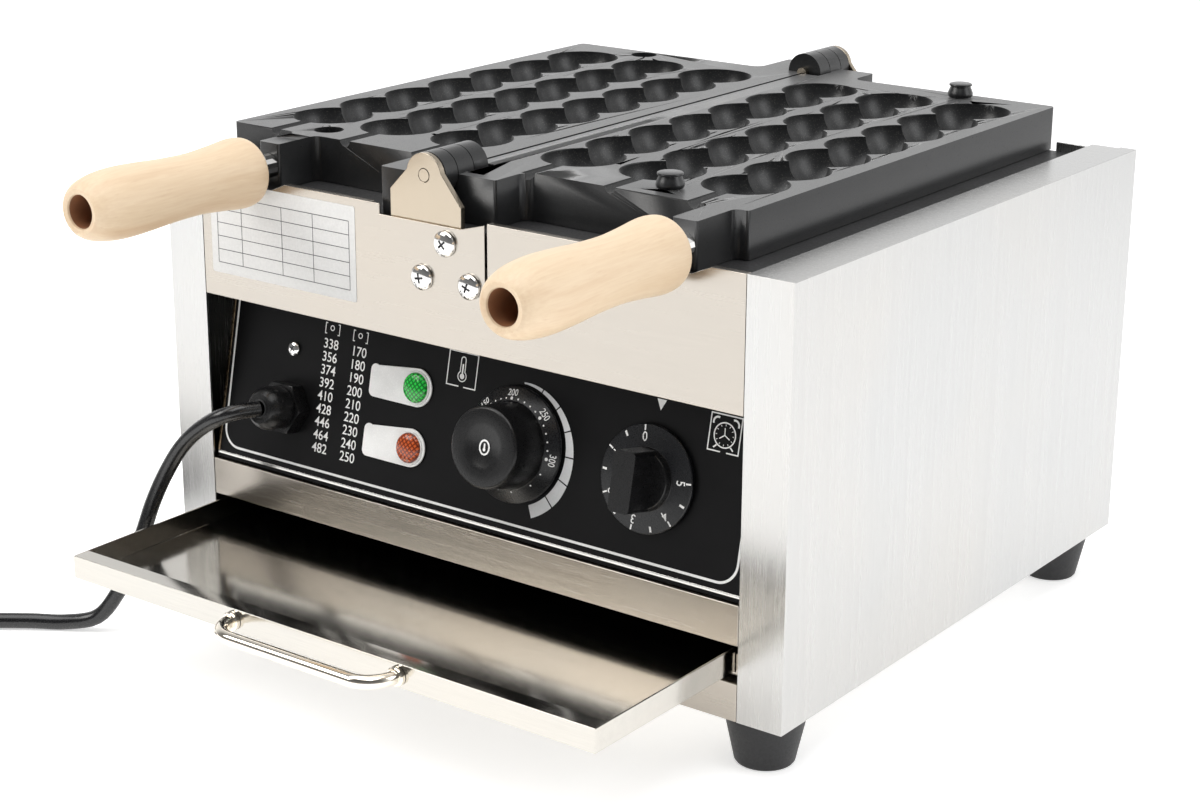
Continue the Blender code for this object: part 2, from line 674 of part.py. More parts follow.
def front_band(root):
    """Upper front sheet with a top lip, a return over the control panel, and the hinge's notch."""
    half = POST_EDGE - SEAT_GAP
    low = CASE_TOP - BAND_HEIGHT
    band = link("front_upper_band", box((-half, 0, low), (half, BAND_RETURN, CASE_TOP)), root, stainless())
    cut(band, box((-half - CUT_OVERRUN, SHEET, low + SHEET), (half + CUT_OVERRUN, BAND_RETURN + CUT_OVERRUN,
                                                              CASE_TOP - SHEET)))
    cut(band, box((-half - CUT_OVERRUN, BAND_LIP, CASE_TOP - 2 * SHEET),
                  (half + CUT_OVERRUN, BAND_RETURN + CUT_OVERRUN, CASE_TOP + CUT_OVERRUN)))
    left = HINGE_OFFSET - BAND_NOTCH_LEFT
    right = HINGE_OFFSET + BAND_NOTCH_RIGHT
    floor = CASE_TOP - BAND_NOTCH_DEPTH
    notch = [(left, floor), (right - BAND_SLOPE_WIDTH, floor), (right, floor + BAND_SLOPE_RISE),
             (right, CASE_TOP + CUT_OVERRUN), (left, CASE_TOP + CUT_OVERRUN)]
    upright = Matrix.Rotation(pi / 2, 4, "X")
    cut(band, turned(prism(notch, -SHEET - CUT_OVERRUN, CUT_OVERRUN), upright))
    lip_left = HINGE_OFFSET - LEFT_EAR_REACH - BACK_STEP_CLEARANCE
    cut(band,
        box((lip_left, SHEET, CASE_TOP - 2 * SHEET), (right, BAND_LIP + CUT_OVERRUN, CASE_TOP + CUT_OVERRUN)),
        box((right, -CUT_OVERRUN, CASE_TOP - RELIEF_SLIT_DEPTH),
            (right + RELIEF_SLIT_WIDTH, BAND_LIP + CUT_OVERRUN, CASE_TOP + CUT_OVERRUN)))
    for x, z in bracket_screw_places():
        hole = turned(rod(SCREW_RADIUS + BORE_GAP, -CUT_OVERRUN, SHEET + CUT_OVERRUN, 12), ALONG_Y)
        cut(band, moved(hole, x, 0, z))
    for x in (HINGE_OFFSET - LEFT_BOSS_OFFSET, HINGE_OFFSET + RIGHT_BOSS_OFFSET):
        floor = CASE_TOP - HANDLE_NOTCH_DEPTH
        dip = [(x - HANDLE_NOTCH_FLOOR / 2, floor), (x + HANDLE_NOTCH_FLOOR / 2, floor),
               (x + HANDLE_NOTCH_MOUTH / 2, CASE_TOP), (x + HANDLE_NOTCH_MOUTH / 2, CASE_TOP + CUT_OVERRUN),
               (x - HANDLE_NOTCH_MOUTH / 2, CASE_TOP + CUT_OVERRUN), (x - HANDLE_NOTCH_MOUTH / 2, CASE_TOP)]
        cut(band, turned(prism(dip, -BAND_LIP - CUT_OVERRUN, CUT_OVERRUN), upright))
    return band


def front_rail(name, low, high, root):
    """Front rail folded as a channel that opens to the back."""
    half = POST_EDGE - SEAT_GAP
    rail = link(name, box((-half, 0, low), (half, RAIL_RETURN, high)), root, stainless())
    return cut(rail, box((-half - CUT_OVERRUN, SHEET, low + SHEET),
                         (half + CUT_OVERRUN, RAIL_RETURN + CUT_OVERRUN, high - SHEET)))


def bottom_rail(root):
    """Sill under the drawer: its face and top return, open below over the base pan."""
    half = POST_EDGE - SEAT_GAP
    rail = link("bottom_front_rail", box((-half, 0, CASE_BOTTOM), (half, RAIL_RETURN, SILL_TOP)), root, stainless())
    return cut(rail, box((-half - CUT_OVERRUN, SHEET, CASE_BOTTOM - CUT_OVERRUN),
                         (half + CUT_OVERRUN, RAIL_RETURN + CUT_OVERRUN, SILL_TOP - SHEET)))


def foot_places():
    x = HALF_WIDTH - FOOT_INSET
    return [(side * x, y) for y in (FOOT_INSET, CASE_DEPTH - FOOT_INSET) for side in (-1, 1)]


def feet(root):
    """Tapered rubber feet, each held by a bolt whose head lies up in the foot's recess."""
    names = ("front_left", "front_right", "rear_left", "rear_right")
    bore = FOOT_BOLT_RADIUS + BORE_GAP
    top = CASE_BOTTOM - SEAT_GAP
    profile = [(bore, top), (FOOT_TOP_RADIUS, top), (FOOT_TOP_RADIUS, top - FOOT_FLANGE_HEIGHT),
               (FOOT_BOTTOM_RADIUS, 0), (FOOT_RECESS_RADIUS, 0), (FOOT_RECESS_RADIUS, FOOT_RECESS_DEPTH),
               (bore, FOOT_RECESS_DEPTH)]
    head_top = FOOT_RECESS_DEPTH - SEAT_GAP
    bolt = [(0, head_top - FOOT_BOLT_HEAD_HEIGHT), (FOOT_BOLT_HEAD_RADIUS, head_top - FOOT_BOLT_HEAD_HEIGHT),
            (FOOT_BOLT_HEAD_RADIUS, head_top), (FOOT_BOLT_RADIUS, head_top),
            (FOOT_BOLT_RADIUS, CASE_BOTTOM + FOOT_BOLT_TAIL), (0, CASE_BOTTOM + FOOT_BOLT_TAIL)]
    for place, (x, y) in zip(names, foot_places()):
        foot = link("foot_" + place, lathe(profile, 16), root, black_rubber())
        foot.location = (x, y, 0)
        screw = link("foot_bolt_" + place, lathe(bolt, 10), root, chrome())
        screw.location = (x, y, 0)


def heater_pan(root):
    """Deck that the plates rest on, with a deep well under each plate for its element."""
    half = INNER_WALL - SEAT_GAP
    back = BACK_PANEL_OUTER - SHEET - SEAT_GAP
    pan = link("heater_pan", box((-half, PAN_FRONT, DECK_TOP - SHEET), (half, back, DECK_TOP)),
               root, dark_enamel())
    for side in (-1, 1):
        low, high = well_span(side)
        front, rear = PLATE_FRONT + WELL_MARGIN, PLATE_BACK - WELL_MARGIN
        floor = DECK_TOP - WELL_DEPTH
        join(pan, box((low - SHEET, front - SHEET, floor - SHEET), (high + SHEET, rear + SHEET, DECK_TOP - SHEET / 2)))
        cut(pan, box((low, front, floor), (high, rear, DECK_TOP + CUT_OVERRUN)))
        for x in (element_legs(side)[0], element_legs(side)[-1]):
            hole = turned(rod(ELEMENT_RADIUS + BORE_GAP, front - 2 * SHEET, front + SHEET), ALONG_Y)
            cut(pan, moved(hole, x, 0, floor + ELEMENT_HEIGHT_ABOVE_WELL))
    return pan


def well_span(side):
    inner = HINGE_OFFSET + side * WELL_MARGIN
    outer = HINGE_OFFSET + side * (PLATE_WIDTH - WELL_MARGIN)
    return min(inner, outer), max(inner, outer)


def element_legs(side):
    low, high = well_span(side)
    middle = (low + high) / 2
    return [middle + (i - (ELEMENT_LEGS - 1) / 2) * ELEMENT_LEG_PITCH for i in range(ELEMENT_LEGS)]


def heating_element(name, side, root):
    """One tubular element: four legs joined by half-round bends, its ends through the well's front wall."""
    legs = element_legs(side)
    z = DECK_TOP - WELL_DEPTH + ELEMENT_HEIGHT_ABOVE_WELL
    start = PLATE_FRONT + WELL_MARGIN - SHEET - ELEMENT_FRONT_LEAD
    bend = ELEMENT_LEG_PITCH / 2
    near = PLATE_FRONT + WELL_MARGIN + ELEMENT_END_MARGIN + bend
    far = PLATE_BACK - WELL_MARGIN - ELEMENT_END_MARGIN - bend
    line = [(legs[0], start)]
    for i in range(ELEMENT_LEGS - 1):
        centre = (legs[i] + bend, far if i % 2 == 0 else near)
        finish = 0 if i % 2 == 0 else 360
        line.extend(arc(centre, bend, 180, finish, 9))
    line.append((legs[-1], start))
    return tube(name, [(x, y, z) for x, y in line], ELEMENT_RADIUS, root, dark_enamel(), 2)


def bracket_outline(low):
    """The hinge bracket in x and z: a foot plate, concave shoulders and a round top about the pin."""
    x, z = HINGE_OFFSET, HINGE_HEIGHT
    shoulder = z - BRACKET_SHOULDER_DROP
    base = CASE_TOP - BRACKET_SHOULDER_BELOW_TOP
    top = arc((x, z), KNUCKLE_RADIUS, 10, 170, 13)
    return [(x - BRACKET_FLANGE_LEFT, low), (x + BRACKET_FLANGE_RIGHT, low),
            (x + BRACKET_FLANGE_RIGHT, base - BAND_NOTCH_DEPTH), (x + BRACKET_TAB_RIGHT, base - BAND_NOTCH_DEPTH),
            (x + BRACKET_TAB_RIGHT, base), (x + BRACKET_TAB_RIGHT, shoulder - BRACKET_SHOULDER_BELOW_TOP / 2),
            *top, (x - BRACKET_TAB_LEFT, shoulder + BRACKET_SHOULDER_BELOW_TOP / 2), (x - BRACKET_TAB_LEFT, base),
            (x - BRACKET_TAB_LEFT, base - BAND_NOTCH_DEPTH), (x - BRACKET_FLANGE_LEFT, base - BAND_NOTCH_DEPTH)]


def bracket_screw_places(lowered=0.0):
    """The three screws' x and z: two below, one above between them."""
    lower = CASE_TOP - SCREW_UPPER_DROP - SCREW_TRIANGLE_HEIGHT - lowered
    middle = HINGE_OFFSET + SCREW_TRIANGLE_CENTRE
    return [(middle, lower + SCREW_TRIANGLE_HEIGHT), (middle - SCREW_TRIANGLE_HALF_WIDTH, lower),
            (middle + SCREW_TRIANGLE_HALF_WIDTH, lower)]


def pin_hole(y_low, y_high):
    hole = turned(rod(PIN_RADIUS + BORE_GAP, y_low, y_high), ALONG_Y)
    return moved(hole, HINGE_OFFSET, 0, HINGE_HEIGHT)


def hinge_brackets(root):
    """A flat bracket behind the front band, and a bent one that stands off the back panel."""
    upright = Matrix.Rotation(pi / 2, 4, "X")
    front_face = SHEET + SEAT_GAP
    back_face = front_face + BRACKET_SHEET
    low = CASE_TOP - BRACKET_FOOT_DROP + BRACKET_SHOULDER_BELOW_TOP
    front = link("hinge_bracket_front", turned(prism(bracket_outline(low), -back_face, -front_face), upright),
                 root, stainless())
    cut(front, pin_hole(front_face - CUT_OVERRUN, back_face + CUT_OVERRUN))
    for x, z in bracket_screw_places():
        hole = turned(rod(SCREW_RADIUS + BORE_GAP, front_face - CUT_OVERRUN, back_face + CUT_OVERRUN, 12), ALONG_Y)
        cut(front, moved(hole, x, 0, z))
    x_low, x_high = HINGE_OFFSET - BRACKET_TAB_LEFT, HINGE_OFFSET + BRACKET_TAB_RIGHT
    inner = PLATE_BACK + BRACKET_INNER
    outer = PLATE_BACK + BRACKET_OUTER
    shelf_top = PLATE_BOTTOM - BRACKET_SHELF_CLEARANCE
    flange = BACK_PANEL_OUTER + SEAT_GAP
    tab = [(x, max(z, shelf_top - BRACKET_SHEET / 2)) for x, z in bracket_outline(low)
           if x_low - WELD_DISTANCE <= x <= x_high + WELD_DISTANCE]
    rear = link("hinge_bracket_rear", turned(prism(tab, -outer, -inner), upright), root, stainless())
    join(rear,
         box((x_low, flange, shelf_top - BRACKET_SHEET), (x_high, outer, shelf_top)),
         box((x_low, flange, low), (HINGE_OFFSET + BRACKET_FLANGE_RIGHT, flange + BRACKET_SHEET, shelf_top)))
    cut(rear, pin_hole(inner - CUT_OVERRUN, outer + CUT_OVERRUN))
    for x, z in bracket_screw_places(REAR_SCREWS_LOWERED):
        hole = turned(rod(SCREW_RADIUS + BORE_GAP, flange - CUT_OVERRUN, flange + BRACKET_SHEET + CUT_OVERRUN, 12),
                      ALONG_Y)
        cut(rear, moved(hole, x, 0, z))


def pan_head_screw(name, radius, head_radius, head_height, shank, cross, parent, look):
    """A pan-head screw pointing along +z, head below zero, with a cross recess (length, width, depth)."""
    crown = [(head_radius * out, -head_height * up) for out, up in SCREW_CROWN_SHARES]
    crown += [(head_radius, 0), (radius, 0), (radius, shank), (0, shank)]
    screw = link(name, lathe(crown, 12), parent, look)
    length, width, depth = cross
    low, high = -head_height - CUT_OVERRUN, -head_height + depth
    cut(screw, box((-length / 2, -width / 2, low), (length / 2, width / 2, high)))
    return cut(screw, box((-width / 2, -length / 2, low), (width / 2, length / 2, high)))


def bracket_screws(root):
    cross = (SCREW_CROSS_LENGTH, SCREW_CROSS_WIDTH, SCREW_CROSS_DEPTH)
    shank = SHEET + SEAT_GAP + BRACKET_SHEET + SCREW_TAIL
    back = BACK_PANEL_OUTER + SEAT_GAP + BRACKET_SHEET
    for i, (x, z) in enumerate(bracket_screw_places(), 1):
        front = pan_head_screw(f"bracket_screw_front_{i}", SCREW_RADIUS, SCREW_HEAD_RADIUS, SCREW_HEAD_HEIGHT,
                               shank, cross, root, chrome())
        front.location = (x, -SEAT_GAP, z)
        front.rotation_euler = (-pi / 2, 0, 0)
        rear = pan_head_screw(f"bracket_screw_rear_{i}", SCREW_RADIUS, SCREW_HEAD_RADIUS, SCREW_HEAD_HEIGHT,
                              shank, cross, root, chrome())
        rear.location = (x, back + SEAT_GAP, z - REAR_SCREWS_LOWERED)
        rear.rotation_euler = (pi / 2, 0, 0)


def hinge_pins(root):
    """Pins pressed in the brackets, their inner ends showing past the last knuckle."""
    outer = SHEET + SEAT_GAP
    inner = PLATE_FRONT + PIN_STUB
    front = link("hinge_pin_front", turned(rod(PIN_RADIUS, outer, inner, 16), ALONG_Y), root, chrome())
    front.location = (HINGE_OFFSET, 0, HINGE_HEIGHT)
    rear_mesh = turned(rod(PIN_RADIUS, PLATE_BACK - PIN_STUB, PLATE_BACK + BRACKET_OUTER, 16), ALONG_Y)
    rear = link("hinge_pin_rear", rear_mesh, root, chrome())
    rear.location = (HINGE_OFFSET, 0, HINGE_HEIGHT)


def plate_outline(ear_reach, ear_length, boss_offset, boss_reach):
    """A plate seen from above, as u out from the hinge axis and y back from the case's front face."""
    boss_low, boss_high = boss_offset - BOSS_WIDTH / 2, boss_offset + BOSS_WIDTH / 2
    ear_front, ear_back = PLATE_FRONT - ear_length, PLATE_BACK + ear_length
    boss_front = PLATE_FRONT - boss_reach
    corner = min(BOSS_FILLET, (PLATE_WIDTH - boss_high) / 2)
    return rounded([
        (PLATE_INNER_EDGE, ear_front, 0), (ear_reach, ear_front, EAR_CORNER_RADIUS),
        (ear_reach, PLATE_FRONT, EAR_FILLET), (boss_low, PLATE_FRONT, BOSS_FILLET),
        (boss_low, boss_front, EAR_CORNER_RADIUS), (boss_high, boss_front, EAR_CORNER_RADIUS),
        (boss_high, PLATE_FRONT, corner), (PLATE_WIDTH, PLATE_FRONT, corner / 2),
        (PLATE_WIDTH, PLATE_BACK, PLATE_CORNER_RADIUS), (ear_reach, PLATE_BACK, EAR_FILLET),
        (ear_reach, ear_back, EAR_CORNER_RADIUS), (PLATE_INNER_EDGE, ear_back, 0)])


def cavity_row():
    """Cutter for one row: a string of touching balls turned about its own axis, led by the stick's groove."""
    start = PLATE_FRONT - CUT_OVERRUN
    first = PLATE_FRONT + CAVITY_FRONT_MARGIN
    mouth = first - sqrt(CAVITY_RADIUS ** 2 - STICK_GROOVE_RADIUS ** 2)
    web = sqrt(CAVITY_RADIUS ** 2 - (CAVITY_PITCH / 2) ** 2)
    profile = [(0, start), (STICK_GROOVE_RADIUS, start), (STICK_GROOVE_RADIUS, mouth)]
    mouth_angle = atan2(STICK_GROOVE_RADIUS, mouth - first)
    web_angle = atan2(web, CAVITY_PITCH / 2)
    for i in range(CAVITIES_PER_ROW):
        centre = first + i * CAVITY_PITCH
        begin = mouth_angle if i == 0 else pi - web_angle
        end = 0.0 if i == CAVITIES_PER_ROW - 1 else web_angle
        for k in range(1, CAVITY_ARC_POINTS + 1):
            angle = begin + (end - begin) * k / CAVITY_ARC_POINTS
            profile.append((max(CAVITY_RADIUS * sin(angle), 0.0), centre + CAVITY_RADIUS * cos(angle)))
    profile[-1] = (0, profile[-1][1])
    return turned(lathe(profile, CAVITY_SEGMENTS), ALONG_Y @ Matrix.Rotation(pi / CAVITY_SEGMENTS, 4, "Z"))


def hinge_cutter(steps):
    """Cutter about the hinge axis from (radius, from, to) steps, out from the plate's edge."""
    profile = [(0, steps[0][1])]
    for radius, low, high in steps:
        profile += [(radius, low), (radius, high)]
    profile.append((0, steps[-1][2]))
    return lathe(profile, KNUCKLE_SEGMENTS)


def at_both_ends(make):
    """The same hinge form at the front edge and, mirrored, at the back edge of a plate."""
    front = turned(make(), Matrix.Translation((0, PLATE_FRONT, 0)) @ Matrix.Rotation(pi / 2, 4, "X"))
    back = turned(make(), Matrix.Translation((0, PLATE_BACK, 0)) @ ALONG_Y)
    return front, back


def plate(name, side, axis):
    """A cast plate in the frame of the hinge axis: outline, ears with knuckles, cavities and bores."""
    left = side < 0
    ear_reach = LEFT_EAR_REACH if left else RIGHT_EAR_REACH
    ear_length = OUTER_KNUCKLE_END if left else MIDDLE_KNUCKLE_END
    boss_offset = LEFT_BOSS_OFFSET if left else RIGHT_BOSS_OFFSET
    boss_reach = LEFT_BOSS_REACH if left else RIGHT_BOSS_REACH
    outline = [(side * u, y) for u, y in plate_outline(ear_reach, ear_length, boss_offset, boss_reach)]
    top = -PARTING_GAP / 2
    casting = link(name, prism(outline, top - PLATE_THICKNESS, top, PLATE_EDGE_CHAMFER), axis, cast_black())
    if left:
        spans = [(KNUCKLE_INSET, MIDDLE_KNUCKLE_START - RUNNING_GAP), (OUTER_KNUCKLE_START, OUTER_KNUCKLE_END)]
        steps = [(PIN_BORE, -PIN_STUB - RUNNING_GAP, MIDDLE_KNUCKLE_START - RUNNING_GAP),
                 (SWEEP_RADIUS, MIDDLE_KNUCKLE_START - RUNNING_GAP, OUTER_KNUCKLE_START),
                 (PIN_BORE, OUTER_KNUCKLE_START, OUTER_KNUCKLE_END + CUT_OVERRUN)]
    else:
        spans = [(MIDDLE_KNUCKLE_START, MIDDLE_KNUCKLE_END)]
        steps = [(SWEEP_RADIUS, -PIN_STUB - RUNNING_GAP, MIDDLE_KNUCKLE_START),
                 (PIN_BORE, MIDDLE_KNUCKLE_START, MIDDLE_KNUCKLE_END + CUT_OVERRUN)]
    for low, high in spans:
        join(casting, *at_both_ends(lambda: rod(KNUCKLE_RADIUS, low, high, KNUCKLE_SEGMENTS)))
    cut(casting, *at_both_ends(lambda: hinge_cutter(steps)))
    rows = [moved(cavity_row(), side * (FIRST_ROW + i * ROW_PITCH), 0, 0) for i in range(ROWS)]
    cut(casting, *rows)
    bolt_bore = turned(rod(HANDLE_BOLT_RADIUS + BORE_GAP, PLATE_FRONT - boss_reach - CUT_OVERRUN,
                           PLATE_FRONT - boss_reach + HANDLE_BOLT_DEPTH + SEAT_GAP), ALONG_Y)
    cut(casting, moved(bolt_bore, side * boss_offset, 0, -HANDLE_DROP))
    radius, depth = (DOWEL_HOLE_RADIUS, DOWEL_HOLE_DEPTH) if left else (
        DOWEL_SHANK_RADIUS + BORE_GAP, DOWEL_SHANK_DEPTH + SEAT_GAP)
    cut(casting, *[moved(rod(radius, top - depth, CUT_OVERRUN), side * DOWEL_OFFSET, y, 0) for y in dowel_lines()])
    return casting


def dowel_lines():
    return PLATE_FRONT + DOWEL_FRONT_MARGIN, PLATE_BACK - DOWEL_BACK_MARGIN


def dowels(axis):
    """Flared dowels screwed in the right plate, which enter the left plate's holes when it is folded over."""
    top = -PARTING_GAP / 2
    seat = top + SEAT_GAP
    profile = [(0, top - DOWEL_SHANK_DEPTH), (DOWEL_SHANK_RADIUS, top - DOWEL_SHANK_DEPTH),
               (DOWEL_SHANK_RADIUS, seat), (DOWEL_NECK_RADIUS, seat),
               (DOWEL_NECK_RADIUS, top + DOWEL_HEIGHT * DOWEL_NECK_SHARE),
               (DOWEL_WIDEST_RADIUS, top + DOWEL_HEIGHT * DOWEL_FLARE_SHARE),
               (DOWEL_WIDEST_RADIUS, top + DOWEL_HEIGHT * DOWEL_CHAMFER_SHARE),
               (DOWEL_TOP_RADIUS, top + DOWEL_HEIGHT), (0, top + DOWEL_HEIGHT)]
    for place, y in zip(("front", "rear"), dowel_lines()):
        dowel = link("dowel_" + place, lathe(profile, 16), axis, cast_black())
        dowel.location = (DOWEL_OFFSET, y, 0)


def handle(name, side, boss_offset, boss_reach, axis):
    """Sleeve nut, turned wooden grip and the long bolt that holds them on the plate's boss."""
    x = side * boss_offset
    face = PLATE_FRONT - boss_reach
    back = face - HANDLE_GAP
    front = back - HANDLE_LENGTH
    bolt_bore = HANDLE_BOLT_RADIUS + BORE_GAP
    outer = [(HANDLE_RADIUS * radius, HANDLE_LENGTH * along) for along, radius in HANDLE_PROFILE_SHARES]
    inner = [(HANDLE_MOUTH_RADIUS, HANDLE_LENGTH), (HANDLE_MOUTH_RADIUS, HANDLE_LENGTH - HANDLE_MOUTH_DEPTH),
             (bolt_bore, HANDLE_LENGTH - HANDLE_MOUTH_DEPTH), (bolt_bore, 0)]
    toward_front = Matrix.Rotation(pi / 2, 4, "X")
    grip = link("handle_" + name, turned(lathe(outer + inner, 18), toward_front), axis, beech())
    grip.location = (x, back, -HANDLE_DROP)
    shoulder = front + HANDLE_MOUTH_DEPTH
    head_back = shoulder - SEAT_GAP
    inside = face + HANDLE_BOLT_DEPTH
    head_front = head_back - HANDLE_BOLT_HEAD_HEIGHT
    bolt_profile = [(0, -inside), (HANDLE_BOLT_RADIUS, -inside), (HANDLE_BOLT_RADIUS, -head_back),
                    (HANDLE_BOLT_HEAD_RADIUS, -head_back), (HANDLE_BOLT_HEAD_RADIUS, -head_front), (0, -head_front)]
    bolt = link("handle_bolt_" + name, turned(lathe(bolt_profile, 12), toward_front), axis, chrome())
    bolt.location = (x, 0, -HANDLE_DROP)
    sleeve_end = HANDLE_GAP - 2 * SEAT_GAP
    nut_mesh = turned(prism(hexagon(LOCK_NUT_FLATS), sleeve_end - LOCK_NUT_HEIGHT, sleeve_end), toward_front)
    nut = link("handle_nut_" + name, nut_mesh, axis, chrome())
    nut.location = (x, face - SEAT_GAP, -HANDLE_DROP)
    join(nut, turned(rod(SLEEVE_RADIUS, 0, sleeve_end - LOCK_NUT_HEIGHT / 2), toward_front))
    through = turned(rod(bolt_bore, -CUT_OVERRUN, HANDLE_GAP + CUT_OVERRUN), toward_front)
    cut(nut, through)


def panel_frame(root):
    """The control panel's own frame: x right, y up its slope, z out from its face."""
    frame = empty("panel_frame", root)
    frame.location = (0, PANEL_DATUM_DEPTH, CASE_BOTTOM + PANEL_DATUM_HEIGHT)
    frame.rotation_euler = (radians(90 - PANEL_TILT), 0, 0)
    return frame


def panel_hole(x, s, radius):
    return moved(rod(radius, -PANEL_THICKNESS - CUT_OVERRUN, CUT_OVERRUN), x, s, 0)


def control_panel(frame):
    panel = link("control_panel", box((-PANEL_HALF_WIDTH, PANEL_BOTTOM, -PANEL_THICKNESS),
                                      (PANEL_HALF_WIDTH, PANEL_TOP, 0)), frame, panel_black())
    lamp_x = LAMP_PLATE_LEFT + LAMP_PLATE_LENGTH - LAMP_PLATE_HEIGHT / 2
    cut(panel,
        panel_hole(TEMPERATURE_DIAL_X, DIAL_HEIGHT, BUSH_RADIUS + BORE_GAP),
        panel_hole(TIMER_DIAL_X, DIAL_HEIGHT, BUSH_RADIUS + BORE_GAP),
        panel_hole(GLAND_X, GLAND_S, GLAND_THREAD_RADIUS + BORE_GAP),
        panel_hole(PANEL_SCREW_X, PANEL_SCREW_S, PANEL_SCREW_RADIUS + BORE_GAP),
        panel_hole(lamp_x, POWER_LAMP_S, LAMP_STEM_RADIUS + BORE_GAP),
        panel_hole(lamp_x, HEAT_LAMP_S, LAMP_STEM_RADIUS + BORE_GAP))
    return panel


def panel_screw(frame):
    cross = (PANEL_SCREW_CROSS_LENGTH, PANEL_SCREW_CROSS_WIDTH, PANEL_SCREW_CROSS_DEPTH)
    screw = pan_head_screw("panel_screw", PANEL_SCREW_RADIUS, PANEL_SCREW_HEAD_RADIUS, PANEL_SCREW_HEAD_HEIGHT,
                           PANEL_THICKNESS + PANEL_SCREW_TAIL, cross, frame, chrome())
    screw.location = (PANEL_SCREW_X, PANEL_SCREW_S, SEAT_GAP)
    screw.rotation_euler = (pi, 0, 0)


def lamp(name, s, colour, frame):
    """A pale name plate with a round end, and the lamp's domed lens seated in it."""
    half = LAMP_PLATE_HEIGHT / 2
    left = LAMP_PLATE_LEFT
    lamp_x = left + LAMP_PLATE_LENGTH - half
    straight = [(left, -half, LAMP_PLATE_CORNER), (lamp_x, -half, 0), (lamp_x, half, 0),
                (left, half, LAMP_PLATE_CORNER)]
    corners = rounded(straight)
    lower = corners[:len(corners) // 2 - 1]
    upper = corners[len(corners) // 2 + 1:]
    outline = lower + arc((lamp_x, 0), half, -90, 90, 13) + upper
    top = SEAT_GAP + LAMP_PLATE_THICKNESS
    name_plate = link(name + "_lamp_plate", prism(outline, SEAT_GAP, top), frame,
                      material("lamp_plate", (0.85, 0.85, 0.83), 0.35))
    cut(name_plate, moved(rod(LAMP_STEM_RADIUS + BORE_GAP, -CUT_OVERRUN, top + CUT_OVERRUN), lamp_x, 0, 0))
    name_plate.location = (0, s, 0)
    base = top + SEAT_GAP
    edge = base + LAMP_LENS_HEIGHT * LAMP_LENS_EDGE_SHARE
    rise = LAMP_LENS_HEIGHT * (1 - LAMP_LENS_EDGE_SHARE)
    dome = [(LAMP_LENS_RADIUS * cos(radians(a)), edge + rise * sin(radians(a))) for a in (0, 22, 44, 66)]
    profile = [(0, -LAMP_STEM_LENGTH), (LAMP_STEM_RADIUS, -LAMP_STEM_LENGTH), (LAMP_STEM_RADIUS, base),
               (LAMP_LENS_RADIUS, base), *dome, (0, base + LAMP_LENS_HEIGHT)]
    lens = link(name + "_lamp_lens", lathe(profile, 16), frame, material(name + "_lens", colour, 0.15))
    lens.location = (lamp_x, s, 0)


def control_unit(name, x, width, depth, frame):
    """The body behind the panel with its bush through the panel, and the spindle that the knob turns."""
    back = -PANEL_THICKNESS - SEAT_GAP
    unit = link(name + "_unit", box((-width / 2, -width / 2, back - depth), (width / 2, width / 2, back)),
                frame, material("unit_grey", (0.45, 0.45, 0.44), 0.5))
    unit.location = (x, DIAL_HEIGHT, 0)
    join(unit, rod(BUSH_RADIUS, back - SHEET, SEAT_GAP))
    cut(unit, rod(SPINDLE_RADIUS + BORE_GAP, back - SPINDLE_IN_UNIT - SEAT_GAP, CUT_OVERRUN))
    spindle = link(name + "_spindle", rod(SPINDLE_RADIUS, back - SPINDLE_IN_UNIT, KNOB_LIFT + SPINDLE_IN_KNOB, 16),
                   frame, chrome())
    spindle.location = (x, DIAL_HEIGHT, 0)


def temperature_knob(frame):
    """Round knob on a sloped dial skirt, with a dished face."""
    height = TEMPERATURE_KNOB_HEIGHT
    face = TEMPERATURE_KNOB_FACE_RADIUS
    dish = [(KNOB_DISH_RADIUS * cos(radians(a)), height - KNOB_DISH_DEPTH * sin(radians(a))) for a in (0, 30, 60)]
    bore = SPINDLE_RADIUS + BORE_GAP
    seat = KNOB_LIFT + SPINDLE_IN_KNOB + SEAT_GAP
    profile = [(0, seat), (bore, seat), (bore, KNOB_LIFT),
               (TEMPERATURE_SKIRT_RADIUS, KNOB_LIFT), (TEMPERATURE_SKIRT_RADIUS, TEMPERATURE_SKIRT_EDGE),
               (TEMPERATURE_KNOB_ROOT_RADIUS, TEMPERATURE_SKIRT_CREST), (face, height - KNOB_EDGE_RADIUS),
               (face - KNOB_EDGE_RADIUS * (1 - cos(pi / 4)), height - KNOB_EDGE_RADIUS * (1 - sin(pi / 4))),
               (face - KNOB_EDGE_RADIUS, height), *dish, (0, height - KNOB_DISH_DEPTH)]
    knob = link("temperature_knob", lathe(profile, 24), frame, black_plastic())
    knob.location = (TEMPERATURE_DIAL_X, DIAL_HEIGHT, 0)


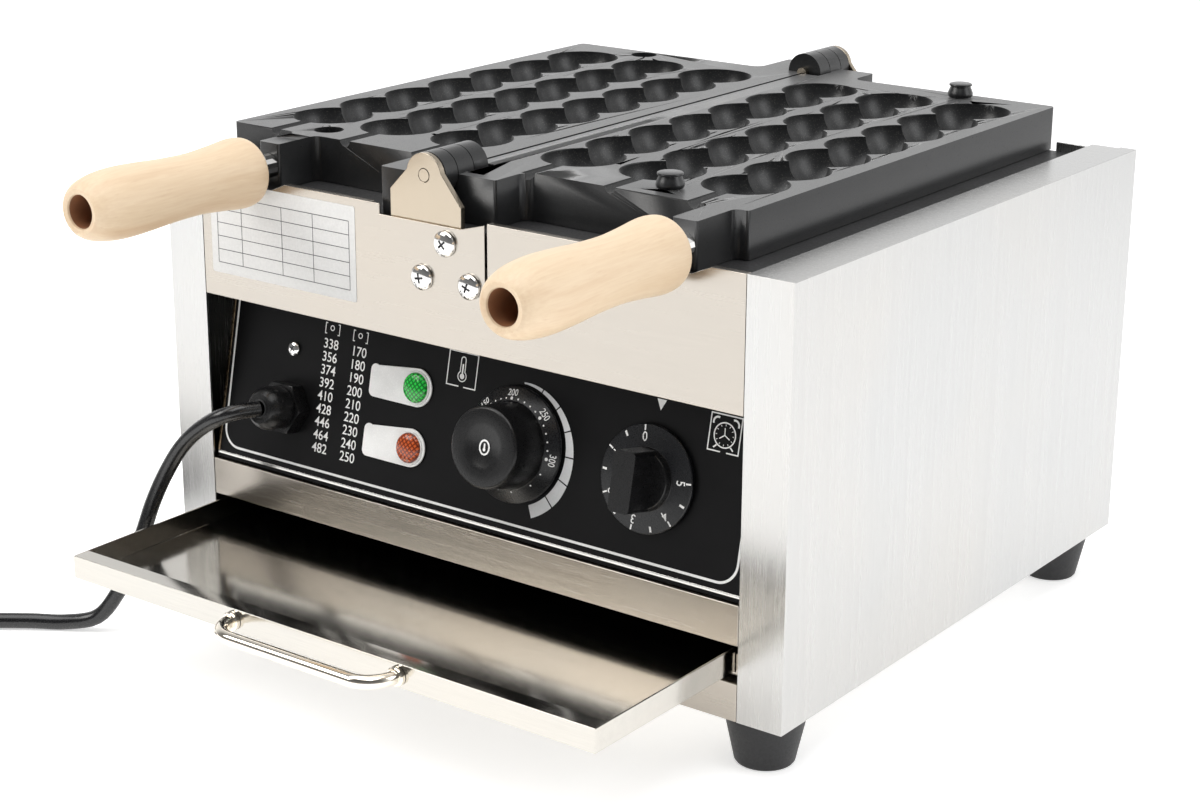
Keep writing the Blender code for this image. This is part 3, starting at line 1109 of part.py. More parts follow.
def timer_knob(frame):
    """Flat dial skirt with a round hub and a straight bar grip across it."""
    profile = [(0, KNOB_LIFT), (TIMER_SKIRT_RADIUS, KNOB_LIFT), (TIMER_SKIRT_RADIUS, TIMER_SKIRT_EDGE),
               (TIMER_HUB_RADIUS, TIMER_SKIRT_CREST), (TIMER_HUB_RADIUS - KNOB_EDGE_RADIUS, TIMER_HUB_HEIGHT),
               (0, TIMER_HUB_HEIGHT)]
    knob = link("timer_knob", lathe(profile, 24), frame, black_plastic())
    half_width, half_length = TIMER_GRIP_WIDTH / 2, TIMER_GRIP_LENGTH / 2
    grip = rounded([(-half_width, -half_length, KNOB_EDGE_RADIUS), (half_width, -half_length, KNOB_EDGE_RADIUS),
                    (half_width, half_length, KNOB_EDGE_RADIUS), (-half_width, half_length, KNOB_EDGE_RADIUS)], 2)
    join(knob, prism(grip, KNOB_LIFT + SEAT_GAP, TIMER_GRIP_HEIGHT, KNOB_EDGE_RADIUS / 2))
    cut(knob, rod(SPINDLE_RADIUS + BORE_GAP, -CUT_OVERRUN, KNOB_LIFT + SPINDLE_IN_KNOB + SEAT_GAP))
    knob.location = (TIMER_DIAL_X, DIAL_HEIGHT, 0)


def cable_gland(frame):
    """Hexagon body through the panel, and the domed nut that closes it on the cord."""
    top = SEAT_GAP + GLAND_BODY_HEIGHT
    body = link("gland_body", prism(hexagon(GLAND_FLATS), SEAT_GAP, top), frame, black_plastic())
    join(body, rod(GLAND_THREAD_RADIUS, -PANEL_THICKNESS - GLAND_THREAD_LENGTH, top - SHEET))
    cut(body, rod(GLAND_BORE_RADIUS, -PANEL_THICKNESS - GLAND_THREAD_LENGTH - CUT_OVERRUN, top + CUT_OVERRUN))
    body.location = (GLAND_X, GLAND_S, 0)
    start = top + SEAT_GAP
    tip = start + DOME_HEIGHT
    crest = start + DOME_COLLAR + (DOME_HEIGHT - DOME_COLLAR) * DOME_CREST_SHARE
    dome = [(GLAND_BORE_RADIUS, start), (DOME_ROOT_RADIUS, start), (DOME_ROOT_RADIUS, start + DOME_COLLAR),
            (DOME_ROOT_RADIUS - (DOME_ROOT_RADIUS - DOME_TIP_RADIUS) / 3, crest),
            (DOME_TIP_RADIUS, tip - SEAT_GAP), (DOME_TIP_RADIUS - SHEET, tip), (GLAND_BORE_RADIUS, tip)]
    nut = link("gland_dome_nut", lathe(dome, 16), frame, black_plastic())
    nut.location = (GLAND_X, GLAND_S, 0)
    return tip + SEAT_GAP


def cord_and_coil(root, gland_reach):
    """The free stretch from the gland, the coil it runs into, and the plug at the coil's tail."""
    tilt = radians(PANEL_TILT)
    up_slope = Vector((0, sin(tilt), cos(tilt)))
    outward = Vector((0, -cos(tilt), sin(tilt)))
    datum = Vector((GLAND_X, PANEL_DATUM_DEPTH, CASE_BOTTOM + PANEL_DATUM_HEIGHT))
    exit_point = datum + up_slope * GLAND_S + outward * gland_reach
    route = smooth_route([exit_point, *CORD_ROUTE], CORD_SPACING)
    tube("power_cord", route, CORD_RADIUS, root, black_plastic(), 2)
    end = route[-1]
    heading = (route[-1] - route[-2])
    heading.z = 0
    heading.normalize()
    coil = coil_points(end + heading * SEAT_GAP, heading)
    tube("cord_coil", coil, CORD_RADIUS, root, black_plastic(), 1)
    print(f"cord_coil: least gap to itself {least_gap(coil) / MM:.2f} mm")
    plug(coil[-1], (coil[-1] - coil[-2]).normalized(), root)


def coil_points(start, heading):
    """Loops that spiral in on the surface, climb half a turn, and spiral out on top, then run to the plug."""
    inward = Vector((heading.y, -heading.x, 0))
    first = start + heading * COIL_LEAD
    centre = first + inward * COIL_RADIUS
    start_angle = atan2(first.y - centre.y, first.x - centre.x)
    wound = (COIL_TURNS - 0.5) / 2
    count = round(COIL_TURNS * COIL_POINTS_PER_TURN)
    points = [start]
    for i in range(count + 1):
        turn = i / COIL_POINTS_PER_TURN
        radius = COIL_RADIUS - COIL_PITCH * min(turn, COIL_TURNS - turn)
        climb = min(max((turn - wound) / 0.5, 0.0), 1.0)
        lift = COIL_LAYER * (3 * climb ** 2 - 2 * climb ** 3)
        angle = start_angle - 2 * pi * turn
        points.append(centre + Vector((radius * cos(angle), radius * sin(angle), lift)))
    angle = start_angle - 2 * pi * COIL_TURNS
    leave = Vector((sin(angle), -cos(angle), 0))
    last = points[-1]
    rise = PLUG_RADIUS + CORD_REST_GAP - last.z
    tail_steps = 5
    for k in range(1, tail_steps + 1):
        share = k / tail_steps
        eased = min(share * tail_steps / (tail_steps - 1), 1.0)
        points.append(last + leave * COIL_TAIL * share + Vector((0, 0, rise * (3 * eased ** 2 - 2 * eased ** 3))))
    return points


def least_gap(points):
    """The smallest clear distance between stretches of a tube that are not neighbours."""
    apart = COIL_POINTS_PER_TURN // 2
    gaps = [(points[i] - points[j]).length - 2 * CORD_RADIUS
            for i in range(len(points)) for j in range(i + apart, len(points))]
    return min(gaps)


def plug(start, heading, root):
    """A round two-pin plug lying on the surface, its collar on the cord's end."""
    body_start = PLUG_COLLAR_LENGTH
    body_end = PLUG_COLLAR_LENGTH + PLUG_LENGTH
    profile = [(0, 0), (PLUG_COLLAR_RADIUS * PLUG_COLLAR_TIP_SHARE, 0),
               (PLUG_COLLAR_RADIUS, body_start * PLUG_COLLAR_SWELL_SHARE),
               (PLUG_RADIUS * PLUG_SHOULDER_SHARE, body_start),
               (PLUG_RADIUS, body_start + PLUG_LENGTH * PLUG_TAPER_SHARE), (PLUG_RADIUS, body_end), (0, body_end)]
    body = link("mains_plug", lathe(profile, 20), root, black_plastic())
    for side in (-1, 1):
        pin = rod(PLUG_PIN_RADIUS, body_end - PLUG_PIN_RADIUS, body_end + PLUG_PIN_LENGTH, 12)
        join(body, moved(pin, side * PLUG_PIN_SPACING / 2, 0, 0))
    across = Vector((-heading.y, heading.x, 0)).normalized()
    turn = Matrix((across, Vector((0, 0, 1)), heading)).transposed().to_4x4()
    body.data.transform(Matrix.Translation(start + heading * SEAT_GAP) @ turn)
    body.data.update()


def drip_tray(slide):
    """Folded tray with a deep front rim, hollow as a hem is, and open on top."""
    low = TRAY_BOTTOM
    high = low + TRAY_HEIGHT
    front = -TRAY_DRAWN_OUT
    back = front + TRAY_LENGTH
    tray = link("drip_tray", box((-TRAY_HALF_WIDTH, front, low), (TRAY_HALF_WIDTH, back, high)), slide, stainless())
    inner = TRAY_HALF_WIDTH - TRAY_SHEET
    cut(tray, box((-inner, front + TRAY_RIM, low + TRAY_SHEET), (inner, back - TRAY_SHEET, high + CUT_OVERRUN)))
    cut(tray, box((-inner, front + TRAY_SHEET, low - CUT_OVERRUN),
                  (inner, front + TRAY_RIM - TRAY_SHEET, high - TRAY_SHEET)))
    return tray


def tray_pull(slide):
    """Bent round-bar pull on two small feet."""
    z = TRAY_BOTTOM + TRAY_HEIGHT / 2
    face = -TRAY_DRAWN_OUT - SEAT_GAP
    bar = -TRAY_DRAWN_OUT - PULL_REACH
    bends = rounded([(-PULL_SPREAD, face, 0), (-PULL_SPREAD, bar, PULL_BEND), (PULL_SPREAD, bar, PULL_BEND),
                     (PULL_SPREAD, face, 0)], 6)
    pull = solid_tube("tray_pull", [(x, y, z) for x, y in bends], PULL_RADIUS, slide, chrome(), 2)
    toward_front = Matrix.Rotation(pi / 2, 4, "X")
    for side in (-1, 1):
        foot = turned(rod(PULL_FOOT_RADIUS, 0, PULL_FOOT_LENGTH, 16), toward_front)
        join(pull, moved(foot, side * PULL_SPREAD, face, z))


def tray_runner(name, side, root):
    """Folded runner on the side wall: web, ledge under the tray's edge, and a fin that guides its side."""
    wall = INNER_WALL - SEAT_GAP
    ledge_top = TRAY_BOTTOM - SEAT_GAP
    ledge_low = ledge_top - RUNNER_SHEET
    fin_outer = TRAY_HALF_WIDTH + SEAT_GAP + RUNNER_SHEET
    fin_inner = TRAY_HALF_WIDTH + SEAT_GAP
    tip = TRAY_HALF_WIDTH - RUNNER_LEDGE
    section = [(wall, ledge_low), (wall, ledge_low + RUNNER_WEB), (wall - RUNNER_SHEET, ledge_low + RUNNER_WEB),
               (wall - RUNNER_SHEET, ledge_top), (fin_outer, ledge_top), (fin_outer, ledge_top + RUNNER_FIN),
               (fin_inner, ledge_top + RUNNER_FIN), (fin_inner, ledge_top), (tip, ledge_top), (tip, ledge_low)]
    upright = Matrix.Rotation(pi / 2, 4, "X")
    back = BACK_PANEL_OUTER - SHEET - SEAT_GAP
    mesh = turned(prism([(side * x, z) for x, z in section], -back, -RUNNER_FRONT), upright)
    return link(name, mesh, root, stainless())


def build():
    clear_scene()
    root = empty("waffle_baker")
    root.location = (0, FOOTPRINT_SHIFT, 0)
    side_panel("left_side_panel", -1, LEFT_TOP_FLANGE, root)
    side_panel("right_side_panel", 1, POST_WIDTH, root)
    back_panel(root)
    base_pan(root)
    front_band(root)
    front_rail("lower_front_rail", OPENING_TOP, MIDDLE_RAIL_TOP, root)
    bottom_rail(root)
    feet(root)
    heater_pan(root)
    heating_element("heating_element_left", -1, root)
    heating_element("heating_element_right", 1, root)
    hinge_brackets(root)
    bracket_screws(root)
    hinge_pins(root)
    left_axis = empty("left_plate_axis", root)
    right_axis = empty("right_plate_axis", root)
    for axis in (left_axis, right_axis):
        axis.location = (HINGE_OFFSET, 0, HINGE_HEIGHT)
    plate("left_plate", -1, left_axis)
    plate("right_plate", 1, right_axis)
    dowels(right_axis)
    handle("left", -1, LEFT_BOSS_OFFSET, LEFT_BOSS_REACH, left_axis)
    handle("right", 1, RIGHT_BOSS_OFFSET, RIGHT_BOSS_REACH, right_axis)
    frame = panel_frame(root)
    control_panel(frame)
    panel_screw(frame)
    lamp("power", POWER_LAMP_S, (0.1, 0.6, 0.18), frame)
    lamp("heat", HEAT_LAMP_S, (0.75, 0.25, 0.08), frame)
    control_unit("thermostat", TEMPERATURE_DIAL_X, THERMOSTAT_WIDTH, THERMOSTAT_DEPTH, frame)
    control_unit("timer", TIMER_DIAL_X, TIMER_UNIT_WIDTH, TIMER_UNIT_DEPTH, frame)
    temperature_knob(frame)
    timer_knob(frame)
    gland_reach = cable_gland(frame)
    cord_and_coil(root, gland_reach)
    slide = empty("tray_slide", root)
    drip_tray(slide)
    tray_pull(slide)
    tray_runner("tray_runner_left", -1, root)
    tray_runner("tray_runner_right", 1, root)


build()
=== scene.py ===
"""Looks of the ball waffle baker: fine meshes, procedural materials, printed marks, cord, floor and light."""
from math import atan2, ceil, cos, pi, radians, sin, sqrt

import bmesh
import bpy
from mathutils import Matrix, Vector


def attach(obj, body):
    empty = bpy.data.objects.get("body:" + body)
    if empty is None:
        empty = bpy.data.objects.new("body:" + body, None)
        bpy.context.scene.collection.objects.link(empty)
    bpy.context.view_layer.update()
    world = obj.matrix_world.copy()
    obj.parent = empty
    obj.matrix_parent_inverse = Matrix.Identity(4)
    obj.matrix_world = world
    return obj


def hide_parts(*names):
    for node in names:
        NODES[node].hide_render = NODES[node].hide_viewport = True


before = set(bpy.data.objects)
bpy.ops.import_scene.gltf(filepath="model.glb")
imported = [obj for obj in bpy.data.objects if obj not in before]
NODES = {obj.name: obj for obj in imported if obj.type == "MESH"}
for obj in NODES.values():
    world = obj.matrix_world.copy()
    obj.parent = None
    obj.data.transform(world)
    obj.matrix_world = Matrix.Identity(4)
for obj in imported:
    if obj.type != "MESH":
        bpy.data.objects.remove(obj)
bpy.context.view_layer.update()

MM = 0.001
SHIFT = -121.6 * MM
CASE_BOTTOM = 26 * MM
CASE_TOP = 232.3 * MM
HINGE_X, HINGE_Z = -17.3 * MM, 249.1 * MM
TO_FRAME = Matrix.Translation((0, SHIFT, 0))
AXIS = Matrix.Translation((HINGE_X, SHIFT, HINGE_Z))
ALONG_Y = Matrix.Rotation(-pi / 2, 4, "X")
TO_FRONT = Matrix.Rotation(pi / 2, 4, "X")
TILT = radians(12)
PANEL = Matrix.Translation((0, 2.5 * MM + SHIFT, 84 * MM)) @ Matrix.Rotation(pi / 2 - TILT, 4, "X")


# ---- shader helpers ----

class Graph:
    """A material's node tree, built up with short calls."""

    def __init__(self, name):
        self.material = bpy.data.materials.new(name)
        self.material.use_nodes = True
        self.tree = self.material.node_tree
        self.shader = self.tree.nodes["Principled BSDF"]
        self.coords = None

    def node(self, kind, **settings):
        made = self.tree.nodes.new("ShaderNode" + kind)
        for key, value in settings.items():
            setattr(made, key, value)
        return made

    def link(self, source, target):
        self.tree.links.new(source, target)

    def place(self, scale=(1, 1, 1), turn=(0, 0, 0)):
        if self.coords is None:
            self.coords = self.node("TexCoord")
        mapping = self.node("Mapping")
        mapping.inputs["Scale"].default_value = scale
        mapping.inputs["Rotation"].default_value = turn
        self.link(self.coords.outputs["Object"], mapping.inputs["Vector"])
        return mapping.outputs["Vector"]

    def noise(self, scale, stretch=(1, 1, 1), detail=3.0, rough=0.5, turn=(0, 0, 0)):
        made = self.node("TexNoise")
        made.inputs["Scale"].default_value = scale
        made.inputs["Detail"].default_value = detail
        made.inputs["Roughness"].default_value = rough
        self.link(self.place(stretch, turn), made.inputs["Vector"])
        return made.outputs["Fac"]

    def ramp(self, source, stops):
        made = self.node("ValToRGB")
        elements = made.color_ramp.elements
        while len(elements) < len(stops):
            elements.new(0.5)
        for element, (at, colour) in zip(elements, stops):
            element.position = at
            element.color = (*colour, 1) if len(colour) == 3 else colour
        self.link(source, made.inputs["Fac"])
        return made.outputs["Color"]

    def span(self, source, low, high, start=0.0, end=1.0):
        made = self.node("MapRange")
        for key, value in (("From Min", start), ("From Max", end), ("To Min", low), ("To Max", high)):
            made.inputs[key].default_value = value
        self.link(source, made.inputs["Value"])
        return made.outputs["Result"]

    def mix(self, factor, first, second):
        made = self.node("Mix", data_type="RGBA")
        for socket, value in ((0, factor), (6, first), (7, second)):
            if isinstance(value, bpy.types.NodeSocket):
                self.link(value, made.inputs[socket])
            elif socket == 0:
                made.inputs[socket].default_value = value
            else:
                made.inputs[socket].default_value = (*value, 1)
        return made.outputs[2]

    def math(self, operation, first, second):
        made = self.node("Math", operation=operation)
        for socket, value in ((0, first), (1, second)):
            if isinstance(value, bpy.types.NodeSocket):
                self.link(value, made.inputs[socket])
            else:
                made.inputs[socket].default_value = value
        return made.outputs["Value"]

    def bump(self, height, strength, distance, below=None):
        made = self.node("Bump")
        made.inputs["Strength"].default_value = strength
        made.inputs["Distance"].default_value = distance
        self.link(height, made.inputs["Height"])
        if below is not None:
            self.link(below, made.inputs["Normal"])
        return made.outputs["Normal"]

    def finish(self, colour=None, roughness=None, normal=None, **fixed):
        for key, source in (("Base Color", colour), ("Roughness", roughness), ("Normal", normal)):
            if source is None:
                continue
            if isinstance(source, bpy.types.NodeSocket):
                self.link(source, self.shader.inputs[key])
            elif key == "Base Color":
                self.shader.inputs[key].default_value = (*source, 1)
            else:
                self.shader.inputs[key].default_value = source
        for key, value in fixed.items():
            name = key.replace("_", " ")
            self.shader.inputs[name].default_value = (*value, 1) if isinstance(value, tuple) else value
        return self.material


def brushed(name, along, base=(0.86, 0.82, 0.76), low=0.2, high=0.34, strength=0.12):
    """Stainless sheet brushed along one axis, with faint clouding."""
    g = Graph(name)
    stretch = tuple(0.02 if axis == along else 1.0 for axis in "xyz")
    fine = g.noise(2600, stretch, 4.0, 0.65)
    broad = g.noise(260, stretch, 3.0, 0.6)
    cloud = g.noise(9, (1, 1, 1), 2.0, 0.5)
    lines = g.math("ADD", g.math("MULTIPLY", fine, 0.6), g.math("MULTIPLY", broad, 0.4))
    darker = tuple(c * 0.90 for c in base)
    tone = g.mix(g.span(lines, 0, 1, 0.35, 0.65), darker, base)
    warm = g.mix(g.span(cloud, 0, 0.35, 0.4, 0.7), tone, tuple(c * s for c, s in zip(base, (1.03, 0.985, 0.93))))
    rough = g.span(lines, low, high, 0.3, 0.7)
    return g.finish(warm, rough, g.bump(lines, strength, 0.00006), Metallic=1.0)


def cast_coat(name="satin_black_cast_coat", glint_share=0.5):
    """Satin non-stick coat on a casting: fine grain, and bright dots painted into the colour as glints."""
    g = Graph(name)
    grain = g.noise(1300, (1, 1, 1), 4.0, 0.7)
    broad = g.noise(60, (1, 1, 1), 2.0, 0.5)
    glint_cells = g.node("TexVoronoi")
    glint_cells.inputs["Scale"].default_value = 1150
    g.link(g.place(), glint_cells.inputs["Vector"])
    glint = g.span(glint_cells.outputs["Distance"], 1, 0, 0.0, 0.3)
    dark = g.mix(g.span(broad, 0, 1, 0.3, 0.7), (0.0055, 0.006, 0.0068), (0.009, 0.0095, 0.0105))
    # Painted highlight: bright dots mixed into the base colour stand in for glints of light.
    colour = g.mix(g.math("MULTIPLY", glint, glint_share), dark, (0.20, 0.19, 0.165))
    rough = g.span(grain, 0.26, 0.40, 0.3, 0.7)
    return g.finish(colour, rough, g.bump(grain, 0.22, 0.0001), Specular_IOR_Level=0.55, Sheen_Weight=0.42,
                    Sheen_Roughness=0.35)


def beech(name, painted_bore_shade=False):
    """Turned beech: straight pale grain with small flecks, and optionally darkened almost to black as painted shade for
    the inside of a bore.
    """
    g = Graph(name)
    rings = g.noise(75, (1, 0.06, 1), 4.0, 0.6)
    pores = g.noise(900, (1, 0.05, 1), 3.0, 0.6)
    flecks = g.node("TexVoronoi")
    flecks.inputs["Scale"].default_value = 420
    g.link(g.place((1, 0.16, 1)), flecks.inputs["Vector"])
    fleck = g.span(flecks.outputs["Distance"], 1, 0, 0.02, 0.22)
    tone = g.ramp(rings, [(0.3, (0.70, 0.53, 0.35)), (0.5, (0.76, 0.60, 0.42)), (0.72, (0.66, 0.47, 0.30))])
    fine = g.mix(g.math("MULTIPLY", g.span(pores, 1, 0, 0.35, 0.6), 0.22), tone, (0.62, 0.42, 0.26))
    colour = g.mix(g.math("MULTIPLY", fleck, 0.25), fine, (0.60, 0.40, 0.25))
    # Painted shade: the bore's colour is mixed nearly to black, standing in for the shade inside the deep hole.
    if painted_bore_shade:
        colour = g.mix(0.92, colour, (0.20, 0.065, 0.02))
    rough = g.span(rings, 0.42, 0.55, 0.3, 0.7)
    return g.finish(colour, rough, g.bump(pores, 0.12, 0.00008), Coat_Weight=0.12, Coat_Roughness=0.35)


def moulded(name, colour, rough=(0.3, 0.42), scale=2200, strength=0.12, distance=0.00005, **fixed):
    """Moulded plastic or rubber: fine texture, slight change of tone."""
    g = Graph(name)
    grain = g.noise(scale, (1, 1, 1), 3.0, 0.6)
    broad = g.noise(40, (1, 1, 1), 2.0, 0.5)
    tone = g.mix(g.span(broad, 0, 1, 0.3, 0.7), tuple(c * 0.85 for c in colour), tuple(c * 1.15 for c in colour))
    return g.finish(tone, g.span(grain, rough[0], rough[1], 0.3, 0.7), g.bump(grain, strength, distance), **fixed)


def chrome(name, base=(0.88, 0.87, 0.85), low=0.05, high=0.13):
    """Polished plating with faint waviness."""
    g = Graph(name)
    wave = g.noise(120, (1, 1, 1), 2.0, 0.5)
    fine = g.noise(1800, (1, 1, 1), 3.0, 0.6)
    tone = g.mix(g.span(wave, 0, 1, 0.35, 0.65), tuple(c * 0.93 for c in base), base)
    return g.finish(tone, g.span(fine, low, high, 0.3, 0.7), g.bump(wave, 0.05, 0.0002), Metallic=1.0)


def lens(name, bright, dark):
    """Tinted lens with a crossed grid moulded behind its face."""
    g = Graph(name)
    bands = []
    for turn in (pi / 4, -pi / 4):
        wave = g.node("TexWave", wave_type="BANDS", bands_direction="X")
        wave.inputs["Scale"].default_value = 175
        g.link(g.place((1, 1, 1), (0, turn, 0)), wave.inputs["Vector"])
        bands.append(wave.outputs["Fac"])
    grid = g.math("MINIMUM", bands[0], bands[1])
    colour = g.mix(g.span(grid, 0, 1, 0.05, 0.55), dark, bright)
    g.link(colour, g.shader.inputs["Emission Color"])
    return g.finish(colour, 0.16, g.bump(grid, 0.25, 0.0002), Emission_Strength=0.22, Coat_Weight=0.25,
                    Coat_Roughness=0.08)


def printed(name, colour, rough=0.5):
    """Screen-printed ink, very slightly uneven."""
    g = Graph(name)
    grain = g.noise(900, (1, 1, 1), 3.0, 0.6)
    tone = g.mix(g.span(grain, 0, 1, 0.35, 0.65), tuple(c * 0.94 for c in colour), colour)
    return g.finish(tone, g.span(grain, rough, rough + 0.1, 0.3, 0.7))


LOOK = {
    "side": brushed("stainless_side_brushed_upright", "z", (0.57, 0.57, 0.565), 0.22, 0.3, 0.035),
    "band": brushed("stainless_front_brushed_across", "x", (0.49, 0.455, 0.41), 0.2, 0.3, 0.035),
    "tray": brushed("stainless_tray_brushed_across", "x", (0.60, 0.58, 0.54), 0.1, 0.17, 0.05),
    "bracket": brushed("stainless_bracket_brushed_upright", "z", (0.47, 0.41, 0.33), 0.18, 0.28, 0.035),
    "bottom": brushed("stainless_base_brushed_lengthways", "y", (0.80, 0.78, 0.74)),
    # Both coats carry painted glints: few on the tops, many in the cavities.
    "cast": cast_coat("satin_black_cast_coat", 0.10),
    "cavity": cast_coat("cavity_coat_painted_glints", 0.55),
    "beech": beech("turned_beech"),
    # Handle bores: beech darkened as painted shade.
    "beech_bore": beech("beech_bore_painted_shade", True),
    "chrome": chrome("polished_chrome"),
    "gold_chrome": chrome("warm_chrome", (0.90, 0.84, 0.74)),
    "plastic": moulded("black_moulded_plastic", (0.0065, 0.0065, 0.007), (0.24, 0.34), Specular_IOR_Level=0.36),
    "skirt": moulded("black_dial_skirt", (0.006, 0.0065, 0.008), (0.24, 0.32), Specular_IOR_Level=0.4),
    "panel": moulded("black_panel_film", (0.0055, 0.0055, 0.006), (0.32, 0.42), 1500, 0.06, Specular_IOR_Level=0.12),
    "cord": moulded("glossy_black_cord", (0.006, 0.006, 0.007), (0.22, 0.3), 1200, 0.08, Specular_IOR_Level=0.5,
                    Coat_Weight=0.25, Coat_Roughness=0.16),
    "rubber": moulded("matt_black_rubber", (0.012, 0.012, 0.013), (0.5, 0.65), 900, 0.25, 0.0001),
    # Painted shade: near-black for the heater pan, standing in for the shade in the well under the plates.
    "pan_shade": moulded("heater_pan_painted_shade", (0.03, 0.03, 0.031), (0.35, 0.5), 700, 0.2, 0.0001),
    "element": chrome("oxidised_element_sheath", (0.16, 0.15, 0.14), 0.3, 0.45),
    "unit": moulded("control_housing", (0.42, 0.42, 0.40), (0.4, 0.5)),
    "ink": printed("white_ink", (0.86, 0.86, 0.85)),
    "grey_ink": printed("pale_grey_ink", (0.66, 0.67, 0.68)),
    # The dark ink rules the label and also paints the shade inside the screw recesses.
    "rule_ink_and_recess_shade": printed("dark_rule_ink_and_recess_shade", (0.10, 0.10, 0.11)),
    "label": printed("white_label_paper", (0.72, 0.72, 0.71), 0.42),
    "lamp_plate": moulded("pale_lamp_plate", (0.86, 0.86, 0.85), (0.22, 0.3), 1500, 0.04, Coat_Weight=0.3),
    "green": lens("green_lamp_lens", (0.015, 0.50, 0.05), (0.002, 0.12, 0.015)),
    "amber": lens("amber_lamp_lens", (0.50, 0.085, 0.015), (0.13, 0.018, 0.005)),
    "bronze": brushed("bronze_toned_edge", "z", (0.42, 0.31, 0.20)),
    "silver_trim": brushed("bright_trim_line", "x", (0.80, 0.79, 0.77), 0.12, 0.22),
}


# ---- mesh helpers ----

def mesh_of(bm, name="shape"):
    bmesh.ops.remove_doubles(bm, verts=bm.verts, dist=0.000001)
    bmesh.ops.recalc_face_normals(bm, faces=bm.faces)
    mesh = bpy.data.meshes.new(name)
    bm.to_mesh(mesh)
    bm.free()
    return mesh


def piece(name, mesh, look):
    obj = bpy.data.objects.new(name, mesh)
    bpy.context.scene.collection.objects.link(obj)
    mesh.materials.clear()
    for one in look if isinstance(look, (list, tuple)) else [look]:
        mesh.materials.append(one)
    return obj


def turned(mesh, *matrices):
    for matrix in matrices:
        mesh.transform(matrix)
    return mesh


def at(x, y, z):
    return Matrix.Translation((x, y, z))


def box(low, high):
    bm = bmesh.new()
    bmesh.ops.create_cube(bm, size=1)
    low, high = Vector(low), Vector(high)
    bmesh.ops.scale(bm, vec=high - low, verts=bm.verts)
    bmesh.ops.translate(bm, vec=(low + high) / 2, verts=bm.verts)
    return mesh_of(bm)


def prism(outline, start, end):
    bm = bmesh.new()
    face = bm.faces.new([bm.verts.new((x, y, start)) for x, y in outline])
    grown = bmesh.ops.extrude_face_region(bm, geom=[face])
    top = [item for item in grown["geom"] if isinstance(item, bmesh.types.BMVert)]
    bmesh.ops.translate(bm, vec=(0, 0, end - start), verts=top)
    return mesh_of(bm)


def lathe(profile, segments=64):
    bm = bmesh.new()
    verts = [bm.verts.new((radius, 0, z)) for radius, z in profile]
    edges = [bm.edges.new(pair) for pair in zip(verts, verts[1:])]
    if profile[0][0] > 0:
        edges.append(bm.edges.new((verts[-1], verts[0])))
    bmesh.ops.spin(bm, geom=verts + edges, cent=(0, 0, 0), axis=(0, 0, 1), angle=2 * pi, steps=segments)
    return mesh_of(bm)


def rod(radius, start, end, segments=48):
    return lathe([(0, start), (radius, start), (radius, end), (0, end)], segments)


def arc(centre, radius, start, end, points):
    angles = [radians(start + (end - start) * i / (points - 1)) for i in range(points)]
    return [(centre[0] + radius * cos(a), centre[1] + radius * sin(a)) for a in angles]


def rounded(corners, steps=7):
    outline = []
    count = len(corners)
    for i, (x, y, radius) in enumerate(corners):
        here = Vector((x, y))
        if radius <= 0:
            outline.append((x, y))
            continue
        before = (Vector(corners[i - 1][:2]) - here).normalized()
        after = (Vector(corners[(i + 1) % count][:2]) - here).normalized()
        half = before.angle(after) / 2
        centre = here + (before + after).normalized() * radius / sin(half)
        first = here + before * radius * cos(half) / sin(half) - centre
        last = here + after * radius * cos(half) / sin(half) - centre
        start = atan2(first.y, first.x)
        sweep = (atan2(last.y, last.x) - start + pi) % (2 * pi) - pi
        for k in range(steps + 1):
            angle = start + sweep * k / steps
            outline.append((centre.x + radius * cos(angle), centre.y + radius * sin(angle)))
    return outline


def smooth_profile(points, steps=6):
    """A profile through (radius, z) points, rounded between them by a smooth curve."""
    points = [Vector(p) for p in points]
    guide = [2 * points[0] - points[1], *points, 2 * points[-1] - points[-2]]
    fine = [tuple(points[0])]
    for a, b, c, d in zip(guide, guide[1:], guide[2:], guide[3:]):
        for k in range(1, steps + 1):
            t = k / steps
            fine.append(tuple(0.5 * (2 * b + (c - a) * t + (2 * a - 5 * b + 4 * c - d) * t ** 2
                                     + (3 * b - a - 3 * c + d) * t ** 3)))
    return fine


def baked(obj):
    bpy.context.view_layer.update()
    shaped = obj.evaluated_get(bpy.context.evaluated_depsgraph_get())
    result = bpy.data.meshes.new_from_object(shaped)
    obj.modifiers.clear()
    obj.data = result
    return obj


def combine(obj, tools, operation):
    helpers = []
    for mesh in tools:
        helper = bpy.data.objects.new("helper", mesh)
        bpy.context.scene.collection.objects.link(helper)
        modifier = obj.modifiers.new("shape", "BOOLEAN")
        modifier.operation = operation
        modifier.solver = "EXACT"
        modifier.object = helper
        helpers.append(helper)
    baked(obj)
    for helper in helpers:
        bpy.data.objects.remove(helper, do_unlink=True)
    return obj


def cut(obj, *tools):
    return combine(obj, tools, "DIFFERENCE")


def join(obj, *tools):
    return combine(obj, tools, "UNION")


def soften(obj, width, segments=3, angle=34, crease=50):
    """Rounds every edge sharper than the angle and keeps flat faces flat in the shading."""
    if width:
        bevel = obj.modifiers.new("edges", "BEVEL")
        bevel.width = width
        bevel.segments = segments
        bevel.limit_method = "ANGLE"
        bevel.angle_limit = radians(angle)
        bevel.harden_normals = False
        bevel.use_clamp_overlap = True
    baked(obj)
    obj.data.shade_smooth()
    obj.data.set_sharp_from_angle(angle=radians(crease))
    weighted = obj.modifiers.new("normals", "WEIGHTED_NORMAL")
    weighted.keep_sharp = True
    baked(obj)
    return obj


def smooth(obj, angle=35):
    obj.data.shade_smooth()
    obj.data.set_sharp_from_angle(angle=radians(angle))
    return obj


def stands_for(obj, node, body):
    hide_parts(node)
    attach(obj, body)
    return obj


def added(obj, body):
    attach(obj, body)
    return obj


